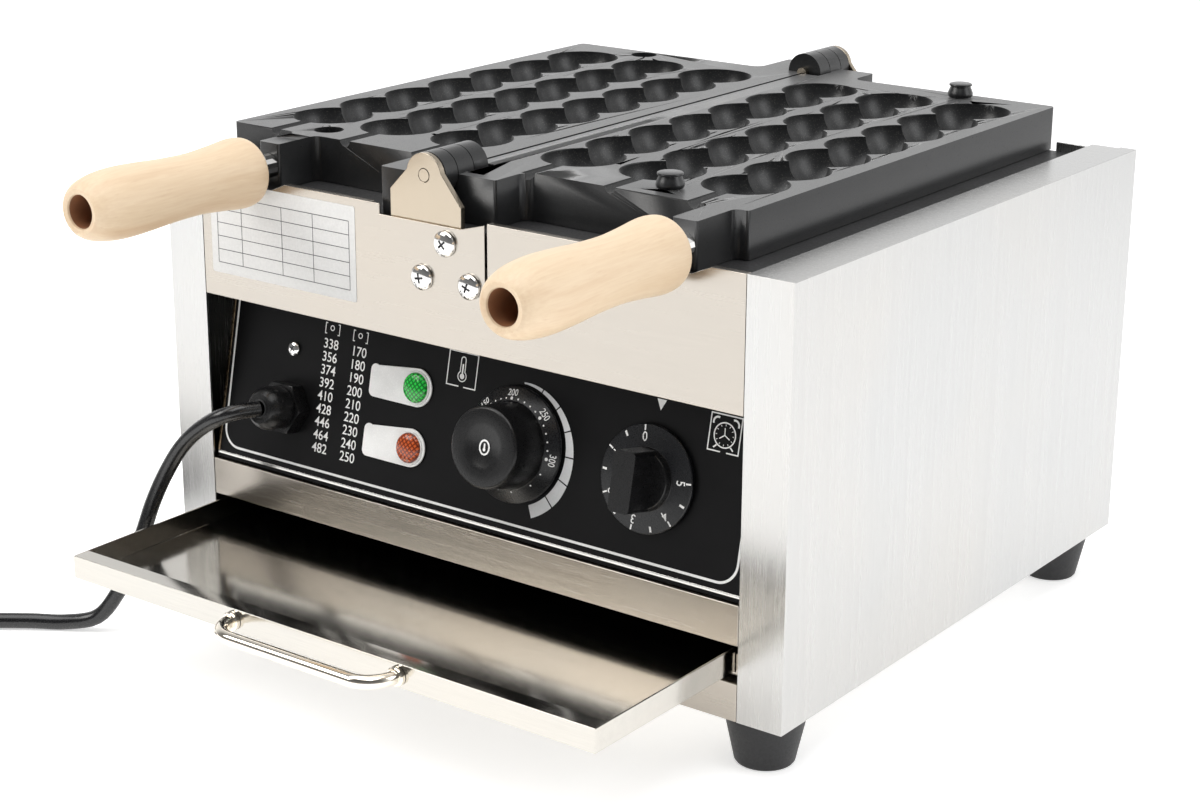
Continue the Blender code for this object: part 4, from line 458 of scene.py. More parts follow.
def softened_copy(node, look, body, width=0.35 * MM, segments=2):
    """A copy of a CAD node with its folded or cut edges rounded."""
    source = NODES[node].data.copy()
    bm = bmesh.new()
    bm.from_mesh(source)
    bmesh.ops.remove_doubles(bm, verts=bm.verts, dist=0.000002)
    bmesh.ops.dissolve_limit(bm, angle_limit=radians(0.5), verts=bm.verts, edges=bm.edges)
    mesh = mesh_of(bm, node + "_fine")
    obj = piece(node + "_fine", mesh, look)
    soften(obj, width, segments)
    return stands_for(obj, node, body)


def tube(name, points, radius, look, resolution=6, smooth_line=False):
    curve = bpy.data.curves.new(name, "CURVE")
    curve.dimensions = "3D"
    curve.bevel_depth = radius
    curve.bevel_resolution = resolution
    curve.use_fill_caps = True
    spline = curve.splines.new("POLY")
    spline.points.add(len(points) - 1)
    for point, place in zip(spline.points, points):
        point.co = (*place, 1)
    if smooth_line:
        spline.use_smooth = True
    obj = bpy.data.objects.new(name, curve)
    bpy.context.scene.collection.objects.link(obj)
    curve.materials.append(look)
    return obj


# ---- cord, coil and plug: the same route as in the part ----

CORD_RADIUS = 4 * MM
CORD_ROUTE = [
    (-116.0, -20.5, 121.9), (-121.4, -26.0, 120.3), (-129.0, -28.5, 116.2), (-139.6, -30.6, 109.2),
    (-149.2, -32.3, 99.6), (-156.2, -34.6, 88.8), (-161.0, -37.5, 78.2), (-164.7, -40.8, 67.0),
    (-166.6, -44.2, 56.8), (-168.2, -47.9, 46.4), (-171.0, -51.9, 35.6), (-174.8, -55.6, 25.0),
    (-179.6, -58.8, 15.2), (-187.0, -62.6, 7.4), (-198.0, -68.6, 4.2), (-216.0, -80.5, 4.1),
    (-240.0, -98.0, 4.1), (-266.0, -116.8, 4.1), (-292.0, -135.4, 4.1), (-300.0, -141.1, 4.1)]


def smooth_route(points, spacing):
    points = [Vector(p) for p in points]
    guide = [2 * points[0] - points[1], *points, 2 * points[-1] - points[-2]]
    fine = [points[0]]
    for a, b, c, d in zip(guide, guide[1:], guide[2:], guide[3:]):
        for k in range(1, 25):
            t = k / 24
            fine.append(0.5 * (2 * b + (c - a) * t + (2 * a - 5 * b + 4 * c - d) * t ** 2
                               + (3 * b - a - 3 * c + d) * t ** 3))
    lengths = [0.0]
    for a, b in zip(fine, fine[1:]):
        lengths.append(lengths[-1] + (b - a).length)
    count = ceil(lengths[-1] / spacing)
    places = []
    index = 0
    for i in range(count + 1):
        wanted = lengths[-1] * i / count
        while index < len(lengths) - 2 and lengths[index + 1] < wanted:
            index += 1
        share = (wanted - lengths[index]) / (lengths[index + 1] - lengths[index])
        places.append(fine[index].lerp(fine[index + 1], share))
    return places


def coil_points(start, heading, per_turn=24):
    """The part's coil: loops that spiral in, climb half a turn, and spiral out on top, then run to the plug."""
    turns, pitch, layer, radius_out = 3.125, 9.2 * MM, 9 * MM, 55 * MM
    inward = Vector((heading.y, -heading.x, 0))
    first = start + heading * 8.5 * MM
    centre = first + inward * radius_out
    start_angle = atan2(first.y - centre.y, first.x - centre.x)
    wound = (turns - 0.5) / 2
    points = [start]
    for i in range(round(turns * per_turn) + 1):
        turn = i / per_turn
        radius = radius_out - pitch * min(turn, turns - turn)
        climb = min(max((turn - wound) / 0.5, 0.0), 1.0)
        lift = layer * (3 * climb ** 2 - 2 * climb ** 3)
        angle = start_angle - 2 * pi * turn
        points.append(centre + Vector((radius * cos(angle), radius * sin(angle), lift)))
    angle = start_angle - 2 * pi * turns
    leave = Vector((sin(angle), -cos(angle), 0))
    last = points[-1]
    rise = 18.5 * MM + 0.1 * MM - last.z
    for k in range(1, 6):
        share = k / 5
        eased = min(share * 5 / 4, 1.0)
        points.append(last + leave * 56 * MM * share + Vector((0, 0, rise * (3 * eased ** 2 - 2 * eased ** 3))))
    return points


def make_cord():
    up_slope = Vector((0, sin(TILT), cos(TILT)))
    outward = Vector((0, -cos(TILT), sin(TILT)))
    datum = Vector((-115 * MM, 2.5 * MM, 84 * MM))
    exit_point = datum + up_slope * 32.5 * MM + outward * 22.3 * MM
    route = smooth_route([exit_point, *[tuple(c * MM for c in p) for p in CORD_ROUTE]], 18 * MM)
    heading = route[-1] - route[-2]
    heading.z = 0
    heading.normalize()
    coil = coil_points(route[-1] + heading * 0.3 * MM, heading)
    line = [p + Vector((0, SHIFT, 0)) for p in [*route, *coil]]
    fine = smooth_route(line, 4 * MM)
    cord = tube("mains_cord_run", fine, CORD_RADIUS * 0.99, LOOK["cord"], 7)
    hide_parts("power_cord", "cord_coil")
    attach(cord, "case")
    plug = make_plug(fine[-1], (fine[-1] - fine[-2]).normalized())


def make_plug(start, heading):
    """Round two-pin plug with a ribbed collar, lying on its side."""
    collar, body, radius = 18 * MM, 38 * MM, 18.5 * MM
    profile = smooth_profile([(6 * MM, 0), (6.6 * MM, 4 * MM), (7.5 * MM, collar * 0.7), (radius * 0.75, collar),
                              (radius * 0.93, collar + body * 0.22), (radius, collar + body * 0.45)], 5)
    profile = [(0, 0), *profile, (radius, collar + body - 1 * MM), (radius - 1 * MM, collar + body),
               (0, collar + body)]
    plug = piece("mains_plug_fine", lathe(profile, 64), [LOOK["cord"], LOOK["chrome"]])
    pins = []
    for side in (-1, 1):
        end = collar + body
        pin = lathe([(0, end - 2 * MM), (2.4 * MM, end - 2 * MM), (2.4 * MM, end + 17.2 * MM),
                     (1.7 * MM, end + 18.6 * MM), (0, end + 19 * MM)], 32)
        pins.append(turned(pin, at(side * 9.5 * MM, 0, 0)))
    grooves = [lathe([(r, z), (r + 3 * MM, z), (r + 3 * MM, z + 1.1 * MM), (r, z + 1.1 * MM)], 48)
               for r, z in ((6.1 * MM, 3 * MM), (6.3 * MM, 5.6 * MM), (6.5 * MM, 8.2 * MM), (6.7 * MM, 10.8 * MM))]
    cut(plug, *grooves)
    join(plug, *pins)
    for polygon in plug.data.polygons:
        polygon.material_index = 1 if polygon.center.z > collar + body + 0.1 * MM else 0
    across = Vector((-heading.y, heading.x, 0)).normalized()
    turn = Matrix((across, Vector((0, 0, 1)), heading)).transposed().to_4x4()
    turned(plug.data, turn, Matrix.Translation(start + heading * 0.3 * MM))
    smooth(plug)
    return stands_for(plug, "mains_plug", "case")


# ---- camera, floor and light ----

def make_camera():
    camera = bpy.data.cameras.new("photo_camera")
    camera.sensor_width = 36
    camera.lens = 73.06
    camera.clip_start, camera.clip_end = 0.01, 60
    obj = bpy.data.objects.new("photo_camera", camera)
    bpy.context.scene.collection.objects.link(obj)
    az, el, roll = radians(36.615), radians(18.265), radians(0.291)
    forward = Vector((-sin(az) * cos(el), cos(az) * cos(el), -sin(el)))
    right = Vector((cos(az), sin(az), 0))
    up = right.cross(forward)
    r2 = cos(roll) * right + sin(roll) * up
    u2 = -sin(roll) * right + cos(roll) * up
    turn = Matrix((r2, u2, -forward)).transposed().to_4x4()
    obj.matrix_world = at(0.6988, -0.8260 + SHIFT, 0.4730 + CASE_BOTTOM) @ turn
    bpy.context.scene.camera = obj


def area_light(name, place, target, size, power, colour=(1, 1, 1)):
    light = bpy.data.lights.new(name, "AREA")
    light.shape = "RECTANGLE"
    light.size, light.size_y = size
    light.energy = power
    light.color = colour
    obj = bpy.data.objects.new(name, light)
    bpy.context.scene.collection.objects.link(obj)
    place, target = Vector(place), Vector(target)
    obj.matrix_world = Matrix.Translation(place) @ (target - place).to_track_quat("-Z", "Y").to_matrix().to_4x4()


def make_studio():
    """White floor that shines a little, a world that is bright behind and dim in front, and three soft lights."""
    floor = piece("studio_floor", box((-4, -4, -0.01), (4, 4, -0.0001)), floor_look())
    world = bpy.data.worlds.new("studio")
    bpy.context.scene.world = world
    world.use_nodes = True
    tree = world.node_tree
    back = tree.nodes["Background"]
    coords = tree.nodes.new("ShaderNodeTexCoord")
    split = tree.nodes.new("ShaderNodeSeparateXYZ")
    tree.links.new(coords.outputs["Generated"], split.inputs["Vector"])

    def ramp(source, low, high, stops):
        span = tree.nodes.new("ShaderNodeMapRange")
        span.inputs["From Min"].default_value = low
        span.inputs["From Max"].default_value = high
        made = tree.nodes.new("ShaderNodeValToRGB")
        while len(made.color_ramp.elements) < len(stops):
            made.color_ramp.elements.new(0.5)
        for element, (place, value) in zip(made.color_ramp.elements, stops):
            element.position = place
            element.color = (value, value, value, 1)
        tree.links.new(source, span.inputs["Value"])
        tree.links.new(span.outputs["Result"], made.inputs["Fac"])
        return made.outputs["Color"]

    depth = ramp(split.outputs["Y"], -1, 1, [(0.0, 0.16), (0.38, 0.22), (0.62, 1.0), (1.0, 1.0)])
    height = ramp(split.outputs["Z"], 0, 1, [(0.0, 1.0), (0.3, 0.85), (0.6, 0.5), (1.0, 0.6)])
    both = tree.nodes.new("ShaderNodeMix")
    both.data_type = "RGBA"
    both.blend_type = "MULTIPLY"
    both.inputs[0].default_value = 1.0
    tree.links.new(depth, both.inputs[6])
    tree.links.new(height, both.inputs[7])
    tree.links.new(both.outputs[2], back.inputs["Color"])
    back.inputs["Strength"].default_value = 1.25
    area_light("overhead_softbox", (0.0, -0.5, 2.0), (0, 0, 0), (2.2, 1.8), 34)
    area_light("left_front_softbox", (-1.3, -1.5, 1.5), (0, 0, 0.12), (1.2, 1.0), 20, (1.0, 0.985, 0.96))
    area_light("right_softbox", (1.9, 0.5, 1.2), (0, 0, 0.12), (1.0, 1.4), 9, (0.98, 0.99, 1.0))
    bpy.context.scene.view_settings.view_transform = "Standard"
    bpy.context.scene.view_settings.look = "None"
    bpy.context.scene.view_settings.exposure = 0
    bpy.context.scene.view_settings.gamma = 1


def floor_look():
    g = Graph("white_studio_floor")
    cloud = g.noise(3, (1, 1, 1), 2.0, 0.5)
    tone = g.mix(cloud, (0.86, 0.86, 0.86), (0.88, 0.88, 0.88))
    g.link(tone, g.shader.inputs["Emission Color"])
    return g.finish(tone, 0.7, Specular_IOR_Level=0.1, Emission_Strength=0.62)


make_camera()
make_cord()
make_studio()


# ---- plates, dowels and handles ----

PLATE_FRONT, PLATE_LENGTH, PLATE_WIDTH = 36.1 * MM, 291.3 * MM, 155.2 * MM
PLATE_BACK = PLATE_FRONT + PLATE_LENGTH
PARTING, THICK = 0.4 * MM, 22.4 * MM
DROP = PARTING / 2 + THICK / 2
BALL, PITCH, GROOVE = 20.6 * MM, 35.2 * MM, 3.3 * MM
KNUCKLE = 10.5 * MM
KNUCKLES = {"middle_start": 11.2 * MM, "middle_end": 22.2 * MM, "outer_start": 22.7 * MM, "outer_end": 31.1 * MM}


def plate_outline(ear_reach, ear_length, boss_offset, boss_reach):
    boss_low, boss_high = boss_offset - 6.6 * MM, boss_offset + 6.6 * MM
    ear_front, ear_back = PLATE_FRONT - ear_length, PLATE_BACK + ear_length
    boss_front = PLATE_FRONT - boss_reach
    corner = min(4 * MM, (PLATE_WIDTH - boss_high) / 2)
    return rounded([
        (1 * MM, ear_front, 0), (ear_reach, ear_front, 1.5 * MM), (ear_reach, PLATE_FRONT, 6 * MM),
        (boss_low, PLATE_FRONT, 4 * MM), (boss_low, boss_front, 1.5 * MM), (boss_high, boss_front, 1.5 * MM),
        (boss_high, PLATE_FRONT, corner), (PLATE_WIDTH, PLATE_FRONT, corner / 2),
        (PLATE_WIDTH, PLATE_BACK, 3 * MM), (ear_reach, PLATE_BACK, 6 * MM),
        (ear_reach, ear_back, 1.5 * MM), (1 * MM, ear_back, 0)])


def cavity_row(segments=72, steps=14):
    first = PLATE_FRONT + 41.6 * MM
    mouth = first - sqrt(BALL ** 2 - GROOVE ** 2)
    start = PLATE_FRONT - 2 * MM
    web = sqrt(BALL ** 2 - (PITCH / 2) ** 2)
    profile = [(0, start), (GROOVE, start), (GROOVE, mouth)]
    mouth_angle, web_angle = atan2(GROOVE, mouth - first), atan2(web, PITCH / 2)
    for i in range(7):
        centre = first + i * PITCH
        begin = mouth_angle if i == 0 else pi - web_angle
        end = 0.0 if i == 6 else web_angle
        for k in range(1, steps + 1):
            angle = begin + (end - begin) * k / steps
            profile.append((max(BALL * sin(angle), 0.0), centre + BALL * cos(angle)))
    profile[-1] = (0, profile[-1][1])
    return turned(lathe(profile, segments), Matrix.Rotation(pi / segments, 4, "Z"), ALONG_Y)


def at_both_ends(make):
    front = turned(make(), TO_FRONT, at(0, PLATE_FRONT, 0))
    back = turned(make(), ALONG_Y, at(0, PLATE_BACK, 0))
    return front, back


def stepped(steps):
    profile = [(0, steps[0][1])]
    for radius, low, high in steps:
        profile += [(radius, low), (radius, high)]
    profile.append((0, steps[-1][2]))
    return lathe(profile, 48)


def make_plate(name, side):
    left = side < 0
    ear_reach, ear_length = (29.5 * MM, KNUCKLES["outer_end"]) if left else (32 * MM, KNUCKLES["middle_end"])
    boss_offset, boss_reach = (106.1 * MM, 26.1 * MM) if left else (141.5 * MM, 29.1 * MM)
    outline = [(side * u, y) for u, y in plate_outline(ear_reach, ear_length, boss_offset, boss_reach)]
    top = -PARTING / 2
    casting = piece(name + "_fine", prism(outline, top - THICK, top), LOOK["cast"])
    k = KNUCKLES
    gap, stub = 0.5 * MM, 2.4 * MM
    if left:
        spans = [(0.7 * MM, k["middle_start"] - gap), (k["outer_start"], k["outer_end"])]
        steps = [(3.3 * MM, -stub - gap, k["middle_start"] - gap), (11.2 * MM, k["middle_start"] - gap, k["outer_start"]),
                 (3.3 * MM, k["outer_start"], k["outer_end"] + 2 * MM)]
    else:
        spans = [(k["middle_start"], k["middle_end"])]
        steps = [(11.2 * MM, -stub - gap, k["middle_start"]), (3.3 * MM, k["middle_start"], k["middle_end"] + 2 * MM)]
    for low, high in spans:
        join(casting, *at_both_ends(lambda: rod(KNUCKLE, low, high)))
    cut(casting, *at_both_ends(lambda: stepped(steps)))
    cut(casting, *[turned(cavity_row(), at(side * (34.2 + 46 * i) * MM, 0, 0)) for i in range(3)])
    radius, depth = (7.5 * MM, 11.5 * MM) if left else (3.3 * MM, 12.3 * MM)
    cut(casting, *[turned(rod(radius, top - depth, 2 * MM), at(side * 103.7 * MM, y, 0))
                   for y in (PLATE_FRONT + 14 * MM, PLATE_BACK - 9 * MM)])
    soften(casting, 0.6 * MM, 3, crease=12)
    # The cavity faces get the coat with many more painted glints.
    casting.data.materials.append(LOOK["cavity"])
    for polygon in casting.data.polygons:
        x, y, z = polygon.center
        inside = PLATE_FRONT + 8 * MM < y < PLATE_BACK - 8 * MM and 13 * MM < abs(x) < 147.5 * MM
        polygon.material_index = 1 if inside and top - 21 * MM < z < top - 0.45 * MM else 0
    turned(casting.data, AXIS)
    stands_for(casting, name, name)
    return casting


def make_dowels():
    top = -PARTING / 2
    seat = top + 0.3 * MM
    high = top + 7.6 * MM
    profile = [(0, seat - 11 * MM), (3 * MM, seat - 11 * MM), (3 * MM, seat), (5.2 * MM, seat)]
    profile += smooth_profile([(6.2 * MM, seat + 0.3 * MM), (6.6 * MM, top + 1.4 * MM), (6.7 * MM, top + 2.3 * MM),
                               (6.3 * MM, top + 3.6 * MM), (5.5 * MM, top + 5.4 * MM), (5.2 * MM, top + 6.2 * MM)], 4)
    profile += [(5.9 * MM, top + 6.5 * MM), (6.1 * MM, top + 6.9 * MM), (5.9 * MM, high - 0.15 * MM), (5.5 * MM, high),
                (0, high)]
    for place, y in (("front", PLATE_FRONT + 14 * MM), ("rear", PLATE_BACK - 9 * MM)):
        dowel = piece(f"dowel_{place}_fine", turned(lathe(profile), at(103.7 * MM, y, 0), AXIS), LOOK["cast"])
        smooth(dowel, 40)
        stands_for(dowel, "dowel_" + place, "right_plate")


HANDLE_SHARES = ((0.0, 0.84), (0.012, 0.925), (0.035, 0.985), (0.09, 1.0), (0.2, 0.93), (0.34, 0.87), (0.5, 0.89),
                 (0.65, 0.95), (0.78, 0.975), (0.88, 0.93), (0.95, 0.83), (0.985, 0.72), (1.0, 0.62))


def make_handle(name, side, boss_offset, boss_reach, length):
    """Turned grip: swelling, rounded nose, and the wrench bore with a softened mouth."""
    radius, mouth, depth = 17 * MM, 7.8 * MM, 70 * MM
    back = PLATE_FRONT - boss_reach - 15.5 * MM
    outer = smooth_profile([(radius * r, length * z) for z, r in HANDLE_SHARES], 6)
    lip = [(mouth + 1.2 * MM, length - 0.1 * MM), (mouth + 0.35 * MM, length - 0.5 * MM), (mouth, length - 1.4 * MM)]
    inner = [(mouth, length - depth), (4.3 * MM, length - depth), (4.3 * MM, 0)]
    grip = piece(f"handle_{name}_fine", lathe(outer + lip + inner, 96), [LOOK["beech"], LOOK["beech_bore"]])
    # The bore's faces get the beech with painted shade.
    for polygon in grip.data.polygons:
        x, y, z = polygon.center
        polygon.material_index = 1 if sqrt(x * x + y * y) < mouth + 0.05 * MM and z > 1 * MM else 0
    turned(grip.data, TO_FRONT, at(side * boss_offset, back, -DROP), AXIS)
    smooth(grip, 40)
    stands_for(grip, "handle_" + name, name + "_plate")


make_plate("left_plate", -1)
make_plate("right_plate", 1)
make_dowels()
make_handle("left", -1, 106.1 * MM, 26.1 * MM, 106.5 * MM)
make_handle("right", 1, 141.5 * MM, 29.1 * MM, 109 * MM)


# ---- case: softened copies of the folded sheet ----

for node, look, width in (
        ("left_side_panel", "side", 0.45), ("right_side_panel", "side", 0.45), ("back_panel", "side", 0.3),
        ("base_pan", "bottom", 0.3), ("front_upper_band", "band", 0.4), ("lower_front_rail", "band", 0.4),
        ("bottom_front_rail", "band", 0.4), ("hinge_bracket_front", "bracket", 0.5),
        ("hinge_bracket_rear", "bracket", 0.5), ("tray_runner_left", "band", 0.3),
        ("tray_runner_right", "band", 0.3)):
    softened_copy(node, LOOK[look], "case", width * MM)
# The heater pan is coloured near-black as painted shade for the well under the plates.
softened_copy("heater_pan", LOOK["pan_shade"], "case", 0.4 * MM)
softened_copy("drip_tray", LOOK["tray"], "drip_tray", 0.35 * MM)

for node, look in (
        ("heating_element_left", "element"), ("heating_element_right", "element"), ("hinge_pin_front", "bracket"),
        ("hinge_pin_rear", "bracket"), ("handle_bolt_left", "chrome"), ("handle_bolt_right", "chrome"),
        ("handle_nut_left", "chrome"), ("handle_nut_right", "chrome"), ("control_panel", "panel"),
        ("thermostat_unit", "unit"), ("timer_unit", "unit"), ("thermostat_spindle", "chrome"),
        ("timer_spindle", "chrome"), ("foot_bolt_front_left", "chrome"), ("foot_bolt_front_right", "chrome"),
        ("foot_bolt_rear_left", "chrome"), ("foot_bolt_rear_right", "chrome")):
    mesh = NODES[node].data
    mesh.materials.clear()
    mesh.materials.append(LOOK[look])


# ---- feet, tray pull, screws ----

def make_feet():
    top, low = CASE_BOTTOM - 0.3 * MM, 13.75 * MM
    profile = [(3.3 * MM, top), (18.6 * MM, top), (19 * MM, top - 0.5 * MM), (19 * MM, top - 2.6 * MM),
               (18.7 * MM, top - 3.2 * MM), (low + 0.35 * MM, 1.2 * MM), (low - 0.4 * MM, 0.2 * MM),
               (low - 1 * MM, 0), (7.4 * MM, 0), (7 * MM, 0.5 * MM), (7 * MM, 14 * MM), (3.3 * MM, 14 * MM)]
    for place, x, y in (("front_left", -162.5, 22.5), ("front_right", 162.5, 22.5), ("rear_left", -162.5, 305.1),
                        ("rear_right", 162.5, 305.1)):
        foot = piece(f"foot_{place}_fine", turned(lathe(profile), at(x * MM, y * MM, 0), TO_FRAME), LOOK["rubber"])
        smooth(foot)
        stands_for(foot, "foot_" + place, "case")


def make_pull():
    """Bent round bar with round feet on the tray's front."""
    z, face, bar, spread = 54.3 * MM, -99.8 * MM, -115.5 * MM, 50 * MM
    bends = rounded([(-spread, face, 0), (-spread, bar, 14 * MM), (spread, bar, 14 * MM), (spread, face, 0)], 14)
    pull = tube("tray_pull_fine", [(x, y + SHIFT, z) for x, y in bends], 3.3 * MM, LOOK["gold_chrome"], 8)
    stands_for(pull, "tray_pull", "drip_tray")
    foot = lathe([(0, 0), (4.6 * MM, 0), (4.6 * MM, 1.7 * MM), (4.1 * MM, 2.4 * MM), (3.4 * MM, 2.5 * MM), (0, 2.5 * MM)])
    for side in (-1, 1):
        ring = piece("tray_pull_foot_" + ("left" if side < 0 else "right"),
                     turned(foot.copy(), TO_FRONT, at(side * spread, face, z), TO_FRAME), LOOK["gold_chrome"])
        smooth(ring)
        added(ring, "drip_tray")


def make_screw(name, radius, head, height, shank, cross, matrix, node):
    """Pan-head screw with a domed crown and a tapered cross recess whose faces are coloured near-black as painted
    shade.
    """
    crown = [(head * sin(radians(a)), -height * (0.28 + 0.72 * cos(radians(a)))) for a in (0, 15, 30, 45, 60, 75, 90)]
    profile = [(0, -height), *crown[1:], (head, -height * 0.16), (head * 0.985, 0), (radius, 0), (radius, shank),
               (0, shank)]
    screw = piece(name, lathe(profile, 48), [LOOK["chrome"], LOOK["rule_ink_and_recess_shade"]])
    length, width, depth = cross
    low, high = -height - 1 * MM, -height + depth
    cut(screw, box((-length / 2, -width / 2, low), (length / 2, width / 2, high)))
    cut(screw, box((-width / 2, -length / 2, low), (width / 2, length / 2, high)))
    # Painted shade: the faces inside the cross recess get the dark ink, standing in for the shade in the recess.
    for polygon in screw.data.polygons:
        x, y, z = polygon.center
        inside = (abs(x) <= length / 2 + 0.00001 and abs(y) <= width / 2 + 0.00001) or (
            abs(y) <= length / 2 + 0.00001 and abs(x) <= width / 2 + 0.00001)
        polygon.material_index = 1 if inside and z > -height + 0.15 * MM and z < high + 0.05 * MM else 0
    turned(screw.data, matrix)
    smooth(screw, 40)
    stands_for(screw, node, "case")


def make_screws():
    upper = CASE_TOP - 13 * MM
    lower = upper - 18.1 * MM
    middle = HINGE_X + 13.8 * MM
    back = 326.1 * MM + 0.3 * MM + 3 * MM + 0.3 * MM
    places = [(middle, upper), (middle - 14.15 * MM, lower), (middle + 14.15 * MM, lower)]
    cross = (5 * MM, 1.1 * MM, 1.4 * MM)
    for i, (x, z) in enumerate(places, 1):
        front = Matrix.Translation((x, -0.3 * MM + SHIFT, z)) @ Matrix.Rotation(-pi / 2, 4, "X") @ Matrix.Rotation(
            radians(18 + 31 * i), 4, "Z")
        make_screw(f"bracket_screw_front_{i}_fine", 2.5 * MM, 6.2 * MM, 3 * MM, 8 * MM, cross, front,
                   f"bracket_screw_front_{i}")
        rear = Matrix.Translation((x, back + SHIFT, z - 11 * MM)) @ Matrix.Rotation(pi / 2, 4, "X") @ Matrix.Rotation(
            radians(40 * i), 4, "Z")
        make_screw(f"bracket_screw_rear_{i}_fine", 2.5 * MM, 6.2 * MM, 3 * MM, 8 * MM, cross, rear,
                   f"bracket_screw_rear_{i}")
    small = PANEL @ at(-116 * MM, 61.9 * MM, 0.3 * MM) @ Matrix.Rotation(pi, 4, "X") @ Matrix.Rotation(0.5, 4, "Z")
    make_screw("panel_screw_fine", 1.75 * MM, 3.75 * MM, 2 * MM, 7.5 * MM, (3.4 * MM, 0.7 * MM, 0.9 * MM), small,
               "panel_screw")


make_feet()
make_pull()
make_screws()


# ---- knobs, lamps and gland ----

DIAL_TEMP, DIAL_TIME, DIAL_S = 28 * MM, 104.5 * MM, 42.5 * MM


def make_temperature_knob():
    """Dial skirt, straight-sided knob and a dished face."""
    bore = [(0, 15.1 * MM), (3.3 * MM, 15.1 * MM), (3.3 * MM, 0.8 * MM)]
    skirt = [(27.2 * MM, 0.8 * MM), (27.6 * MM, 1.2 * MM), (27.6 * MM, 2.2 * MM), (27.2 * MM, 2.7 * MM),
             (20.9 * MM, 5.1 * MM), (20.5 * MM, 5.5 * MM)]
    side = [(20.4 * MM, 6 * MM), (19.9 * MM, 14 * MM), (19.3 * MM, 23.0 * MM)]
    rim = [(19.2 * MM - 1.5 * MM * (1 - cos(radians(a))), 23.5 * MM + 1.5 * MM * sin(radians(a)))
           for a in (0, 22, 45, 67, 90)]
    dish = smooth_profile([(13.5 * MM, 25 * MM), (10.5 * MM, 24.85 * MM), (7.5 * MM, 24.2 * MM), (4 * MM, 23.6 * MM),
                           (0, 23.4 * MM)], 5)
    knob = piece("temperature_knob_fine", lathe(bore + skirt + side + rim + dish, 120), [LOOK["plastic"], LOOK["skirt"]])
    for polygon in knob.data.polygons:
        polygon.material_index = 1 if polygon.center.z < 5.6 * MM else 0
    turned(knob.data, PANEL @ at(DIAL_TEMP, DIAL_S, 0))
    smooth(knob, 40)
    stands_for(knob, "temperature_knob", "temperature_knob")


def make_timer_knob():
    """Sloped dial skirt, low hub and a straight bar grip."""
    profile = [(0, 0.8 * MM), (24.6 * MM, 0.8 * MM), (25 * MM, 1.2 * MM), (25 * MM, 2.6 * MM), (24.6 * MM, 3.05 * MM),
               (14.8 * MM, 4 * MM), (14.4 * MM, 4.5 * MM), (13.9 * MM, 6.4 * MM), (13.3 * MM, 7 * MM), (0, 7 * MM)]
    knob = piece("timer_knob_fine", lathe(profile, 120), [LOOK["plastic"], LOOK["skirt"]])
    half_width, half_length, corner = 5.75 * MM, 14 * MM, 2.2 * MM
    grip = rounded([(-half_width, -half_length, corner), (half_width, -half_length, corner),
                    (half_width, half_length, corner), (-half_width, half_length, corner)], 8)
    join(knob, prism(grip, 1.1 * MM, 22 * MM))
    cut(knob, rod(3.3 * MM, -2 * MM, 15.1 * MM))
    soften(knob, 0.7 * MM, 3, 40)
    for polygon in knob.data.polygons:
        x, y, z = polygon.center
        polygon.material_index = 1 if z < 4.4 * MM and sqrt(x * x + y * y) > 14.6 * MM else 0
    turned(knob.data, PANEL @ at(DIAL_TIME, DIAL_S, 0))
    stands_for(knob, "timer_knob", "timer_knob")


def make_lamp(name, s, look):
    left, half, corner = -64.2 * MM, 9.4 * MM, 3 * MM
    x = left + 39.1 * MM - half
    outline = rounded([(left, half, corner), (left, -half, corner), (x, -half, 0)])
    outline += arc((x, 0), half, -90, 90, 33)[1:]
    plate = piece(name + "_lamp_plate_fine", prism(outline, 0.3 * MM, 1.2 * MM), LOOK["lamp_plate"])
    cut(plate, turned(rod(4.8 * MM, -2 * MM, 4 * MM), at(x, 0, 0)))
    soften(plate, 0.3 * MM, 3)
    turned(plate.data, PANEL @ at(0, s, 0))
    stands_for(plate, name + "_lamp_plate", "case")
    base, height, radius = 1.5 * MM, 3 * MM, 7.1 * MM
    dome = [(radius * cos(radians(a)), base + height * (0.35 + 0.65 * sin(radians(a)))) for a in range(0, 90, 10)]
    profile = [(0, -14 * MM), (4.5 * MM, -14 * MM), (4.5 * MM, base), (radius - 0.2 * MM, base), (radius, base + 0.2 * MM),
               *dome, (0, base + height)]
    glass = piece(name + "_lamp_lens_fine", turned(lathe(profile), PANEL @ at(x, s, 0)), look)
    smooth(glass, 40)
    stands_for(glass, name + "_lamp_lens", "case")
    ring = lathe([(radius + 0.15 * MM, 1.2 * MM), (radius + 1.0 * MM, 1.2 * MM), (radius + 0.9 * MM, 1.75 * MM),
                  (radius + 0.3 * MM, 1.8 * MM)])
    rim = piece(name + "_lamp_rim", turned(ring, PANEL @ at(x, s, 0)), LOOK["lamp_plate"])
    smooth(rim)
    added(rim, "case")


